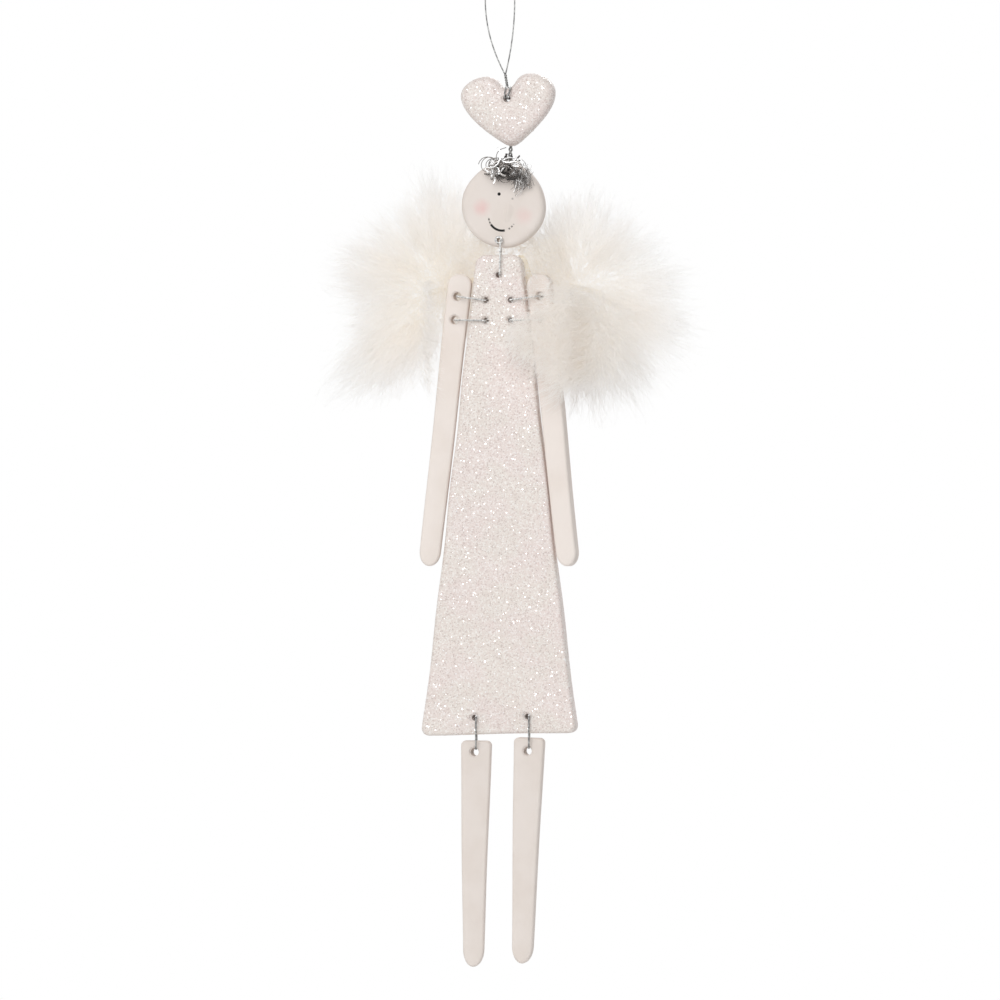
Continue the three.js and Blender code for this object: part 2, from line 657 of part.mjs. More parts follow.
// Wings: plumes of down on bundled quills, each stuck to the back of the dress by a dab of glue.
const dressBack = DRESS_THICKNESS / 2;
const wingBack = dressBack + WING_CLEARANCE + PLUME_DEPTH / 2;

// One plume from the origin up +Z: narrow at its quill, fullest past the middle, round at the tip.
function plume(length) {
  const profile = Array.from({ length: PLUME_STEPS + 1 }, (_, i) => {
    const share = i / PLUME_STEPS;
    const width = i < PLUME_STEPS ? Math.sin(Math.PI * share ** PLUME_FULLNESS) : 0;
    return new THREE.Vector2((width * PLUME_WIDTH) / 2, (length * (1 - Math.cos(Math.PI * share))) / 2);
  });
  const geometry = new THREE.LatheGeometry(profile, PLUME_SIDES);
  geometry.rotateX(Math.PI / 2);
  geometry.scale(1, PLUME_DEPTH / PLUME_WIDTH, 1);
  return geometry;
}

// A dab of glue on the origin, flat on its front and domed towards +Y.
function glueDab() {
  const dome = Array.from({ length: CURVE_STEPS + 1 }, (_, i) => {
    const angle = (Math.PI / 2) * (i / CURVE_STEPS);
    return new THREE.Vector2(i < CURVE_STEPS ? Math.cos(angle) : 0, Math.sin(angle));
  });
  const profile = [new THREE.Vector2(0, 0), ...dome];
  const geometry = new THREE.LatheGeometry(profile, 2 * CURVE_STEPS);
  geometry.scale(GLUE_WIDTH / 2, GLUE_DEPTH, GLUE_HEIGHT / 2);
  return geometry;
}

for (const [name, side, lengths] of [
  ["left", -1, LEFT_PLUME_LENGTHS],
  ["right", 1, RIGHT_PLUME_LENGTHS],
]) {
  const wingRoot = vec(side * WING_ROOT_X, wingBack, dressTop - WING_ROOT_DROP);
  const plumes = lengths.map((length, i) => {
    const geometry = plume(length);
    geometry.rotateY(rad(side * PLUME_ANGLES[i]));
    geometry.translate(...wingRoot.toArray());
    return toSolid(geometry);
  });
  const dab = vec(side * GLUE_X, dressBack + STUCK_GAP, dressTop - GLUE_DROP);
  const start = dab.clone().add(vec(0, QUILL_SEAT, 0));
  const outward = wingRoot.clone().sub(start).normalize();
  const end = wingRoot.clone().addScaledVector(outward, QUILL_REACH);
  const bend = start.clone().lerp(end, 0.5).add(vec(0, QUILL_BOW, 0));
  const run = new THREE.QuadraticBezierCurve3(start, bend, end).getPoints(CURVE_STEPS);
  const socket = toSolid(wire(run, QUILL_DIAMETER + 2 * STUCK_GAP, CURVE_STEPS, false));
  const puff = plumes.reduce((all, one) => all.add(one)).subtract(socket);
  const glue = toSolid(glueDab().translate(...dab.toArray())).subtract(socket);
  add(name + "_quills", wire(run, QUILL_DIAMETER, CURVE_STEPS, false), QUILL);
  add(name + "_wing", toGeometry(puff), DOWN);
  add(name + "_wing_glue", toGeometry(glue), GLUE);
}

export default root;
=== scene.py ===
import json
import math

import bmesh
import bpy
import numpy as np
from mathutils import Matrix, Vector


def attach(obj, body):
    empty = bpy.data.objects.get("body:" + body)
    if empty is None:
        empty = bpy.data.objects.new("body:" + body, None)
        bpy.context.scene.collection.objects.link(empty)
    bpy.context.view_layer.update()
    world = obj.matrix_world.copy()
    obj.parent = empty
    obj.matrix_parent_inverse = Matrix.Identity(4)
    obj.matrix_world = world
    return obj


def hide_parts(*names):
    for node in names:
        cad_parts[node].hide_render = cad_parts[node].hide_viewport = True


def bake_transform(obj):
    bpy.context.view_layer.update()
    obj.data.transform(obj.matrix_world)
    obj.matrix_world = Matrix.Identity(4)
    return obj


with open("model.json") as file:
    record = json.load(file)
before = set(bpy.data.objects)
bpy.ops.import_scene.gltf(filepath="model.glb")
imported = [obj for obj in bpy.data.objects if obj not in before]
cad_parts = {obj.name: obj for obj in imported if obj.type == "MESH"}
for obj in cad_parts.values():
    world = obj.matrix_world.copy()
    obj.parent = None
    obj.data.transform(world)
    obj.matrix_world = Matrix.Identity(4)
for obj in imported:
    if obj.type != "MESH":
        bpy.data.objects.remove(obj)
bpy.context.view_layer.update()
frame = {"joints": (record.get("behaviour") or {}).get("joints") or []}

# The view: a level camera, far back on a long lens, a little to the right of straight ahead.
# One pixel of its 1000-pixel frame covers 0.27 mm of the ornament.
MM = 0.001
PIXEL = 0.27 * MM
FRAME_PIXELS = 1000
VIEW_TURN = math.radians(12)
VIEW_DISTANCE = 2.4
VIEW_HEIGHT = -138.8 * MM

scene = bpy.context.scene
lens = bpy.data.cameras.new("camera")
lens.sensor_width = 36
lens.lens = lens.sensor_width * VIEW_DISTANCE / (FRAME_PIXELS * PIXEL)
camera = bpy.data.objects.new("camera", lens)
camera.location = (
    VIEW_DISTANCE * math.sin(VIEW_TURN),
    -VIEW_DISTANCE * math.cos(VIEW_TURN),
    VIEW_HEIGHT,
)
camera.rotation_euler = (math.pi / 2, 0, VIEW_TURN)
scene.collection.objects.link(camera)
scene.camera = camera
scene.view_settings.view_transform = "Standard"
scene.cycles.max_bounces = 36
scene.cycles.diffuse_bounces = 32


# The studio: a white surround that the camera and all shiny things see at full white, while it
# lights the ornament more softly, with a large lamp at the left front and one high up behind it.
class Shade:
    """One output of a node. Sums of Shades and numbers add Math nodes to the same tree."""

    def __init__(self, tree, socket=None):
        self.tree = tree
        self.socket = socket

    def __getitem__(self, name):
        """Another output of the same node."""
        return Shade(self.tree, self.socket.node.outputs[name])

    def node(self, kind, inputs=None, out=0, stops=None, **settings):
        """Adds a node: its settings and ramp stops first, then its inputs, each a value or a Shade."""
        made = self.tree.nodes.new(kind)
        for name, value in settings.items():
            setattr(made, name, value)
        if stops:
            ramp = made.color_ramp.elements
            while len(ramp) < len(stops):
                ramp.new(1)
            for element, (place, colour) in zip(ramp, stops):
                element.position = place
                element.color = (*colour, 1)
        for name, value in (inputs or {}).items():
            self.join(made.inputs[name], value)
        return Shade(self.tree, made.outputs[out])

    def join(self, socket, value):
        """Links a Shade to a socket, or sets a plain value on it. Plain colours are opaque."""
        if isinstance(value, Shade):
            self.tree.links.new(value.socket, socket)
        elif socket.type == "RGBA":
            socket.default_value = (*value, 1)
        else:
            socket.default_value = value

    def feed(self, name, value):
        """Joins a value to a socket of the material's own shader."""
        self.join(self.tree.nodes["Principled BSDF"].inputs[name], value)

    def place(self):
        """Where a point of the surface is, in metres."""
        return self.node("ShaderNodeTexCoord", out="Object")

    def noise(self, scale, detail):
        """Soft noise over the surface, with about that many swells in a metre."""
        inputs = {"Vector": self.place(), "Scale": scale, "Detail": detail}
        return self.node("ShaderNodeTexNoise", inputs)

    def each(self, name):
        """The number that each point of a piece carries under this name."""
        return self.node("ShaderNodeAttribute", out="Fac", attribute_name=name)

    def math(self, operation, *values):
        return self.node("ShaderNodeMath", dict(enumerate(values)), operation=operation)

    def vector(self, operation, *values):
        return self.node("ShaderNodeVectorMath", dict(enumerate(values)), operation=operation)

    def between(self, low, high):
        """0 below low, 1 above high, with a soft step between them."""
        limits = {"Value": self, "From Min": low, "From Max": high}
        return self.node("ShaderNodeMapRange", limits, interpolation_type="SMOOTHSTEP")

    def mix(self, first, second):
        """The first colour where this is 0, the second where it is 1."""
        inputs = {0: self, 6: first, 7: second}
        return self.node("ShaderNodeMix", inputs, 2, data_type="RGBA")

    def __add__(self, other):
        return self.math("ADD", self, other)

    def __sub__(self, other):
        return self.math("SUBTRACT", self, other)

    def __rsub__(self, other):
        return self.math("SUBTRACT", other, self)

    def __mul__(self, other):
        return self.math("MULTIPLY", self, other)

    def __pow__(self, other):
        return self.math("POWER", self, other)

    def __abs__(self):
        return self.math("ABSOLUTE", self)

    __radd__ = __add__
    __rmul__ = __mul__


SURROUND_LIGHT = 0.46
LAMP_SIZE = 0.8
LAMPS = {
    "key_lamp": {"place": (-0.1, -0.9, 0.3), "power": 5.75},
    "back_lamp": {"place": (0.2, 1.0, 0.7), "power": 7.0},
}
WHITE = (1, 1, 1)

world = bpy.data.worlds.new("surround")
world.use_nodes = True
scene.world = world
rays = Shade(world.node_tree).node("ShaderNodeLightPath")
plain_sight = rays["Is Camera Ray"] + rays["Is Glossy Ray"] + rays["Is Transmission Ray"]
surround = world.node_tree.nodes["Background"]
rays.join(surround.inputs["Color"], WHITE)
rays.join(surround.inputs["Strength"], SURROUND_LIGHT + (1 - SURROUND_LIGHT) * plain_sight)

for name, lamp in LAMPS.items():
    light = bpy.data.lights.new(name, "AREA")
    light.size = LAMP_SIZE
    light.energy = lamp["power"]
    holder = bpy.data.objects.new(name, light)
    holder.location = lamp["place"]
    back = holder.location - Vector((0, 0, VIEW_HEIGHT))
    holder.rotation_euler = back.to_track_quat("Z", "Y").to_euler()
    scene.collection.objects.link(holder)


# The floor: a pale round table top below the hanging ornament, out of the camera's frame.
# Towards its rim it fades into the white surround.
FLOOR_HEIGHT = -300
FLOOR_RADIUS = 420
FLOOR_SIDES = 96
FLOOR_FADE = (90 * MM, 400 * MM)
FLOOR_COLOUR = (0.86, 0.86, 0.86)


def piece(name, points, faces, finish, **attributes):
    """A smooth mesh at the origin from points in mm, with one number a point for each attribute."""
    mesh = bpy.data.meshes.new(name)
    mesh.vertices.add(len(points))
    mesh.vertices.foreach_set("co", np.ascontiguousarray(points * MM, np.float32).ravel())
    mesh.loops.add(faces.size)
    mesh.loops.foreach_set("vertex_index", np.ascontiguousarray(faces, np.int32).ravel())
    mesh.polygons.add(len(faces))
    starts = np.arange(0, faces.size, faces.shape[1], dtype=np.int32)
    mesh.polygons.foreach_set("loop_start", starts)
    mesh.update(calc_edges=True)
    mesh.shade_smooth()
    mesh.materials.append(finish)
    for key, values in attributes.items():
        layer = mesh.attributes.new(key, "FLOAT", "POINT")
        layer.data.foreach_set("value", np.ascontiguousarray(values, np.float32).ravel())
    made = bpy.data.objects.new(name, mesh)
    scene.collection.objects.link(made)
    return made


def finish(name, settings):
    """A new material with these values on its shader's sockets, and a start for its nodes."""
    made = bpy.data.materials.new(name)
    made.use_nodes = True
    start = Shade(made.node_tree)
    for key, value in settings.items():
        start.feed(key, value)
    return made, start


floor_finish, start = finish("floor", {"Base Color": FLOOR_COLOUR, "Roughness": 0.8})
apart = start.node("ShaderNodeSeparateXYZ", {0: start.place()})
out = (apart["X"] ** 2 + apart["Y"] ** 2) ** 0.5
rays = start.node("ShaderNodeLightPath")
fade = out.between(*FLOOR_FADE) * rays["Is Camera Ray"]
white = start.node("ShaderNodeEmission", {"Color": WHITE, "Strength": 1})
floor_nodes = floor_finish.node_tree.nodes
plain = Shade(start.tree, floor_nodes["Principled BSDF"].outputs["BSDF"])
faded = start.node("ShaderNodeMixShader", {0: fade, 1: plain, 2: white})
start.join(floor_nodes["Material Output"].inputs["Surface"], faded)

rim = 2 * np.pi * np.arange(FLOOR_SIDES) / FLOOR_SIDES
floor_points = np.stack((np.cos(rim), np.sin(rim), 0 * rim), 1) * FLOOR_RADIUS
floor_points[:, 2] = FLOOR_HEIGHT
piece("floor", floor_points, np.arange(FLOOR_SIDES)[None], floor_finish)


# Hanging loop: thin bright steel wire bent to a teardrop, its two strands twisted together over the
# heart and closed in an eye through the heart's hole.
WIRE_THICK = 0.5
LOOP_THICK = 0.36
STRAND_GAP = 0.2
BEND = 0.7
LOOP_HALF = 4.05
LOOP_ARCH_Z = LOOP_THICK / 2 - LOOP_HALF
LOOP_TWIST_X = 1.4
LOOP_TWIST_TOP = -23.5
LOOP_TWIST_END = -27.1
LOOP_TWIST_TURNS = 2.75
LOOP_TWIST_RADIUS = LOOP_THICK / 2 + 0.04
LOOP_ACROSS = (1, 1.3, 0)
EYE_DROP = 2.6
EYE_TURNS = np.radians((20, 40, 60, 80, 90))
HEART_THICK = 5.4
WIRE_CLEAR = 0.7
EYE_CLEAR = 0.4

hinge = {joint["name"]: np.array(joint["pos_m"]) / MM for joint in frame["joints"]}


def through(points, count, closed=True):
    """A smooth line through points: each stretch is the cubic whose slope at a point is half the
    step from the point before it to the point after it."""
    if closed:
        ends = points[-1:], points[:2]
    else:
        ends = 2 * points[:1] - points[1:2], 2 * points[-1:] - points[-2:-1]
    padded = np.concatenate((ends[0], points, ends[1]))
    spans = len(points) if closed else len(points) - 1
    place = np.linspace(0, spans, count, endpoint=not closed)
    first = np.minimum(place.astype(int), spans - 1)
    t = (place - first)[:, None]
    a, b, c, d = (padded[first + k] for k in range(4))
    bend = (2 * a - 5 * b + 4 * c - d) * t**2 + (3 * b - a - 3 * c + d) * t**3
    return b + ((c - a) * t + bend) / 2


def unit(vectors):
    return vectors / np.linalg.norm(vectors, axis=-1, keepdims=True)


def tubes(paths, radii, sides, across, closed=False, flat=1):
    """Closed strands along paths (strands, points, 3): round each point stands a ring of corners,
    square to the strand, that starts from the direction across. flat squeezes it to a ribbon."""
    ahead = np.roll(paths, -1, 1) - np.roll(paths, 1, 1) if closed else np.gradient(paths, axis=1)
    ahead = unit(ahead)
    side = unit(np.cross(ahead, across))
    up = np.cross(side, ahead)
    turn = 2 * np.pi * np.arange(sides) / sides
    ring = side[:, :, None] * np.cos(turn)[:, None] + flat * up[:, :, None] * np.sin(turn)[:, None]
    radii = np.broadcast_to(radii, paths.shape[:2])
    points = paths[:, :, None] + radii[..., None, None] * ring
    index = np.arange(points[..., 0].size).reshape(points.shape[:3])
    near, far = (index, np.roll(index, -1, 1)) if closed else (index[:, :-1], index[:, 1:])
    near_next, far_next = np.roll(near, -1, 2), np.roll(far, -1, 2)
    faces = [np.stack((near, far_next, near_next), -1), np.stack((near, far, far_next), -1)]
    if not closed:
        fan = np.arange(1, sides - 1)
        first, last = index[:, 0], index[:, -1]
        hub = np.zeros_like(fan)
        faces.append(np.stack((first[:, hub], first[:, fan], first[:, fan + 1]), -1))
        faces.append(np.stack((last[:, hub], last[:, fan + 1], last[:, fan]), -1))
    return points.reshape(-1, 3), np.concatenate([f.reshape(-1, 3) for f in faces])


def twist(top, bottom, radius, turns, begin, count):
    """One strand of a twisted pair: a screw line round the line from top to bottom."""
    share = np.linspace(0, 1, count)
    angle = begin + 2 * np.pi * turns * share
    middle = top + (bottom - top) * share[:, None]
    return middle + radius * np.stack((np.cos(angle), np.sin(angle), 0 * angle), 1)


def fit(made, body, slot, *nodes):
    """The piece moves with a body, or, given bodies and places, is only fixed where it stands. It
    stands for these solids, which are hidden. The slot is not used."""
    if isinstance(body, tuple):
        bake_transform(made)
    else:
        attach(made, body)
    if nodes:
        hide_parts(*nodes)
    return made


def wire_finish(name, dark, bright, roughness):
    """Drawn wire: fine darker and brighter streaks of painted reflection over bare metal, with the
    roughness varying along them.
    """
    made, start = finish(name, {"Metallic": 1.0})
    grain = start.noise(1400.0, 3.0)
    start.feed("Base Color", grain.between(0.35, 0.68).mix(dark, bright))
    start.feed("Roughness", roughness + 0.2 * grain)
    return made


# Each wire's dark and bright colours are painted reflection: dark where the metal would mirror shade,
# bright where it would mirror light.
silver = wire_finish("silver_wire", (0.5, 0.5, 0.49), (0.82, 0.82, 0.81), 0.28)
loop_steel = wire_finish("loop_wire", (0.14, 0.14, 0.14), (0.42, 0.42, 0.41), 0.3)

heart_hole = hinge["heart_swing"]
loop_hole_x = heart_hole[0] - (WIRE_THICK + LOOP_THICK) / 4 - STRAND_GAP
loop_depth = HEART_THICK / 2 + EYE_CLEAR + LOOP_THICK / 2
loop_twist = (
    np.array((LOOP_TWIST_X, 0, LOOP_TWIST_TOP)),
    np.array((loop_hole_x, 0, LOOP_TWIST_END)),
    LOOP_TWIST_RADIUS,
    LOOP_TWIST_TURNS,
)


def loop_strand(side):
    """From the arch to the twist, bowing in with the square of the way down."""
    share = np.linspace(0, 1, 14)[1:-1]
    start_x = side * LOOP_HALF
    x = start_x + (LOOP_TWIST_X + side * LOOP_TWIST_RADIUS - start_x) * share**2
    return np.stack((x, 0 * x, LOOP_ARCH_Z + (LOOP_TWIST_TOP - LOOP_ARCH_Z) * share), 1)


def loop_eye(side):
    """Half of the eye: from the twist close round the heart's rounded top edge and into its hole."""
    shoulder_z = LOOP_TWIST_END - EYE_DROP * (1 - np.cos(EYE_TURNS))
    y = np.concatenate((loop_depth * np.sin(EYE_TURNS), loop_depth - BEND * np.array((0.3, 1))))
    z = np.concatenate((shoulder_z, heart_hole[2] + BEND * np.array((0.3, 0))))
    return np.stack((0 * y + loop_hole_x, side * y, z), 1)


arch_turn = np.linspace(np.pi, 0, 24)
arch_z = LOOP_ARCH_Z + LOOP_HALF * np.sin(arch_turn)
loop_runs = (
    np.stack((LOOP_HALF * np.cos(arch_turn), 0 * arch_turn, arch_z), 1),
    loop_strand(1),
    twist(*loop_twist, 0, 20),
    loop_eye(1),
    loop_eye(-1)[::-1],
    twist(*loop_twist, np.pi, 20)[::-1],
    loop_strand(-1)[::-1],
)
loop_path = through(np.concatenate(loop_runs), 480)[None]
loop_mesh = tubes(loop_path, LOOP_THICK / 2, 10, LOOP_ACROSS, closed=True)
fit(piece("hanging_loop_wire", *loop_mesh, loop_steel), "hanger", "silver_wire", "hanging_loop")


# Heart: a plump clay heart about 25 mm wide, pressed out by hand, pierced under the cleft, brushed
# with glue and rolled in fine pale glitter.
HEART_CLEFT = 2.7
HEART_OUTLINE = [
    (0, HEART_CLEFT), (2.2, HEART_CLEFT), (2.2, 6.4), (6.4, 6.4), (9.9, 6.4), (12.8, 4), (12.8, 1.4),
    (12.8, -2.7), (8, -7.8), (4.4, -10.4), (2.5, -11.9), (1.2, -12.8), (0, -12.8),
]
HEART_SPINE = (-4.5, -1.5)
HEART_EDGE = 2.1
HEART_CROWN = 0.3
HEART_ROLL = -3.4
HEART_WAVES = (0.16, 4)
HEART_FLAKES = 3600
HEART_HOLE = {"width": 1.9, "lip": 0.5}
GRAIN = 0.3 * MM
GREY, PINK = (0.62, 0.54, 0.51), (0.77, 0.675, 0.645)
UNDER, PALE = (0.785, 0.72, 0.685), (0.88, 0.845, 0.825)
GRAIN_TINTS = [(0, GREY), (0.06, GREY), (0.16, PINK), (0.4, UNDER), (0.72, UNDER), (0.9, PALE)]
ROSY, CREAMY = (1, 0.972, 0.965), (0.99, 0.99, 0.965)
GRAIN_TILT = 0.26
BARE_RADIUS = 1.7
FLAKE_SIZES = (0.09, 0.19)
FLAKE_HEIGHT = 0.12
FLAKE_LIFT = -0.1
FLAKE_TILTS = {"a": (0.1, 0.35), "p": (0.8, 0.2)}
SPARKLE_SIZE = 0.03
SPARKLE_LIFT = 0.15
SPARKLE_SHARE = 0.92
FLAKE_TINTS = [
    (0, (0.50, 0.43, 0.40)),
    (0.05, (0.70, 0.61, 0.58)),
    (0.32, (0.785, 0.71, 0.68)),
    (0.72, (0.85, 0.80, 0.775)),
    (SPARKLE_SHARE, WHITE),
]


def bend_line(points, count):
    """A cubic curve from the first point to the last, pulled by the two between them."""
    a, b, c, d = (np.array(p, float) for p in points)
    t = np.linspace(0, 1, count)[:, None]
    return a * (1 - t) ** 3 + 3 * b * t * (1 - t) ** 2 + 3 * c * t**2 * (1 - t) + d * t**3


def evenly(line, count, closed=False):
    """The same line with its points spread evenly along it. A closed line ends on its first point,
    which isn't given twice."""
    step = np.linalg.norm(np.diff(line, axis=0), axis=1)
    far = np.concatenate(((0,), np.cumsum(step)))
    place = np.linspace(0, far[-1], count, endpoint=not closed)
    return np.stack([np.interp(place, far, values) for values in line.T], 1)


def slab(half, spine, thick, edge, crown, rows=12, rounds=8):
    """A clay sheet with hand-rounded edges, from its right half-outline (x, z), top to bottom.
    Each row is the outline drawn in: on the face towards the spine, which is the middle line between
    these two heights, and on the edge by a quarter round. The left half mirrors the right one, and
    the back mirrors the front."""
    spine = np.stack((0 * half[:, 0], np.clip(half[:, 1], *spine)), 1)
    ahead = np.gradient(half, axis=0)
    inward = unit(np.stack((ahead[:, 1], -ahead[:, 0]), 1))
    inward[0] = (0, -1)
    inward[-1] = (0, 1)
    share = np.linspace(0, 1, rows, endpoint=False)[:, None, None]
    rolled = half + edge * inward
    face = spine + (rolled - spine) * share
    face_y = -thick / 2 - crown * (1 - share[..., 0] ** 2) + 0 * half[:, 0]
    angle = np.linspace(0, np.pi / 2, rounds)[:, None, None]
    side = half + edge * (1 - np.sin(angle)) * inward
    side_y = -thick / 2 + edge * (1 - np.cos(angle[..., 0])) + 0 * half[:, 0]
    flat = np.concatenate((face, side))
    depth = np.concatenate((face_y, side_y))
    flat = np.concatenate((flat, flat[::-1]))
    depth = np.concatenate((depth, -depth[::-1]))
    right = np.stack((flat[..., 0], depth, flat[..., 1]), -1)
    index = np.arange(depth.size).reshape(depth.shape)
    a, b, c, d = index[:-1, :-1], index[:-1, 1:], index[1:, 1:], index[1:, :-1]
    quads = np.stack((a, b, c, d), -1).reshape(-1, 4)
    points = np.concatenate((right.reshape(-1, 3), right.reshape(-1, 3) * (-1, 1, 1)))
    return points, np.concatenate((quads, quads[:, ::-1] + depth.size))


def uneven(points, size, reach):
    """The small unevenness of rolled and hand-cut clay: slow waves of that size and reach, in mm."""
    x, y, z = points.T / reach
    waves = (np.sin(1.3 * z + 0.7 * x), np.sin(x + 1.7 * z + 1), np.sin(1.1 * x - 0.4 * z + 2))
    return points + size * np.stack(waves, 1) * (1, 0.7, 0.8)


def placed(points, place, roll):
    """Turned about Y and set in place."""
    c, s = math.cos(math.radians(roll)), math.sin(math.radians(roll))
    x, y, z = points.T
    return np.stack((c * x + s * z, y, c * z - s * x), 1) + place


def closed_up(made, slivers=False):
    """Merges the poles and seams of a piece, takes out slivers if asked to, and turns its faces
    outwards."""
    body = bmesh.new()
    body.from_mesh(made.data)
    bmesh.ops.remove_doubles(body, verts=body.verts, dist=1e-4 * MM)
    if slivers:
        bmesh.ops.dissolve_degenerate(body, edges=body.edges, dist=1e-4 * MM)
    bmesh.ops.recalc_face_normals(body, faces=body.faces)
    body.to_mesh(made.data)
    body.free()
    made.data.shade_smooth()
    return made


def pierced(made, holes, thick, width, lip):
    """Closes up a slab and cuts round holes through it, their lips rounded outwards."""
    closed_up(made, slivers=True)
    angle = np.linspace(0, np.pi / 2, 7)
    rise = np.concatenate((thick / 2 - lip + lip * np.sin(angle), (thick,)))
    flare = width / 2 + lip * np.concatenate((1 - np.cos(angle), (1,)))
    depth = np.concatenate((-rise[::-1], rise))
    paths = np.asarray(holes, float)[:, None] + depth[:, None] * np.array((0, 1, 0))
    radii = np.concatenate((flare[::-1], flare))
    punch = piece("punch", *tubes(paths, radii, 28, (1, 0, 0)), made.data.materials[0])
    cut = made.modifiers.new("holes", "BOOLEAN")
    cut.object = punch
    cut.solver = "EXACT"
    shown = made.evaluated_get(bpy.context.evaluated_depsgraph_get())
    made.data = bpy.data.meshes.new_from_object(shown)
    made.modifiers.clear()
    bpy.data.objects.remove(punch)
    made.data.shade_smooth()
    return made


def flakes(made, body, hole, count, seed):
    """Loose glitter on a piece: six-cornered plates, thickest in the middle, strewn evenly over its
    faces but for one hole, tilted at random and each with a random number for its tint."""
    toss = np.random.default_rng(seed)
    mesh = made.data
    mesh.calc_loop_triangles()
    corner = np.zeros(3 * len(mesh.vertices), np.float32)
    mesh.vertices.foreach_get("co", corner)
    tri = np.zeros(3 * len(mesh.loop_triangles), np.int32)
    mesh.loop_triangles.foreach_get("vertices", tri)
    a, b, c = (corner.reshape(-1, 3)[tri.reshape(-1, 3)[:, k]] / MM for k in range(3))
    normal = np.cross(b - a, c - a)
    area = np.linalg.norm(normal, axis=1)
    pick = toss.choice(len(area), count, p=area / area.sum())
    u, v = np.sort(toss.random((2, count)), axis=0)[..., None]
    spot = a[pick] * u + b[pick] * (v - u) + c[pick] * (1 - v)
    clear = np.linalg.norm((spot - hole)[:, ::2], axis=1) > BARE_RADIUS
    spot, pick, count = spot[clear], pick[clear], clear.sum()
    tilt = toss.normal(0, 1, (count, 3)) * toss.choice(**FLAKE_TILTS, size=(count, 1))
    upright = normal[pick] / area[pick, None]
    lean = unit(upright + tilt)
    flat = unit(np.cross(lean, toss.normal(size=(count, 3))))
    other = np.cross(lean, flat)
    tint = toss.random((count, 1))
    sparkle = tint > SPARKLE_SHARE
    size = toss.uniform(*FLAKE_SIZES, (count, 1)) + SPARKLE_SIZE * sparkle
    spot = spot + size * upright * np.where(sparkle, SPARKLE_LIFT, FLAKE_LIFT)
    spin = np.arange(6)
    turn = np.pi / 3 * spin[:, None]
    rim = flat[:, None] * np.cos(turn) + other[:, None] * np.sin(turn)
    ends = lean[:, None] * np.array((FLAKE_HEIGHT, -FLAKE_HEIGHT))[:, None]
    points = spot[:, None] + size[:, None] * np.concatenate((rim, ends), 1)
    upper = np.stack((spin, (spin + 1) % 6, 0 * spin + 6), 1)
    lower = np.stack(((spin + 1) % 6, spin, 0 * spin + 7), 1)
    faces = np.concatenate((upper, lower)) + 8 * np.arange(count)[:, None, None]
    plates = points.reshape(-1, 3), faces.reshape(-1, 3)
    loose = piece(body + "_glitter", *plates, flake_film, tint=np.repeat(tint, 8))
    loose.data.shade_flat()
    fit(loose, body, "glitter_clay")


# The coat under the flakes: grains that each have a tint, a tilt and a shine of their own.
glitter, start = finish("glitter_coat", {"Specular IOR Level": 0.6})
cells = {"Vector": start.place(), "Scale": 1 / GRAIN}
grains = start.node("ShaderNodeTexVoronoi", cells, out="Color")
toss = start.node("ShaderNodeSeparateColor", {0: grains})
tint = start.node("ShaderNodeValToRGB", {0: toss["Red"]}, stops=GRAIN_TINTS)
wash = start.noise(95.0, 2.0).between(0.38, 0.62).mix(ROSY, CREAMY)
layers = {0: 1.0, 6: tint, 7: wash}
washed = start.node("ShaderNodeMix", layers, 2, data_type="RGBA", blend_type="MULTIPLY")
start.feed("Base Color", washed)
start.feed("Roughness", 0.3 + 0.4 * toss["Green"])
tilt = start.vector("SUBTRACT", grains, (0.5, 0.5, 0.5))
tilt = start.node("ShaderNodeVectorMath", {0: tilt, "Scale": GRAIN_TILT}, operation="SCALE")
upright = start.node("ShaderNodeNewGeometry", out="Normal")
start.feed("Normal", start.vector("NORMALIZE", start.vector("ADD", upright, tilt)))

# Clear and pearly film flakes: pale and pinkish, some in shade, the largest white.
flake_film, start = finish("glitter_flakes", {"Roughness": 0.12, "Specular IOR Level": 0.9})
toss = start.each("tint")
tint = start.node("ShaderNodeValToRGB", {0: toss}, stops=FLAKE_TINTS)
tint.socket.node.color_ramp.interpolation = "CONSTANT"
start.feed("Base Color", tint)
start.feed("Metallic", toss.between(SPARKLE_SHARE - 0.001, SPARKLE_SHARE))

heart_bends = [bend_line(HEART_OUTLINE[k : k + 4], 60) for k in range(0, 12, 3)]
heart_half = evenly(np.concatenate(heart_bends), 150)
heart_points, heart_faces = slab(heart_half, HEART_SPINE, HEART_THICK, HEART_EDGE, HEART_CROWN)
heart_points = placed(uneven(heart_points, *HEART_WAVES), heart_hole, HEART_ROLL)
heart = piece("heart_body", heart_points, heart_faces, glitter)
heart = pierced(heart, [heart_hole], HEART_THICK, **HEART_HOLE)
fit(heart, "heart", "glitter_clay", "heart")
flakes(heart, "heart", heart_hole, HEART_FLAKES, 3)


# Heart wire: silver wire through the heart's hole and over its cleft, twisted down behind the heart
# and closed in an eye through the hole in the crown of the head.
HEAD_THICK = 4.5
HEAD_HALF = (11.4, 11.5)
HEAD_HOLE_RISE = 9.8
HEAD_ROLL = 5
SHANK_DROP = 2.2
SHANK_TURNS = 4.75
STRAND_RADIUS = 0.35

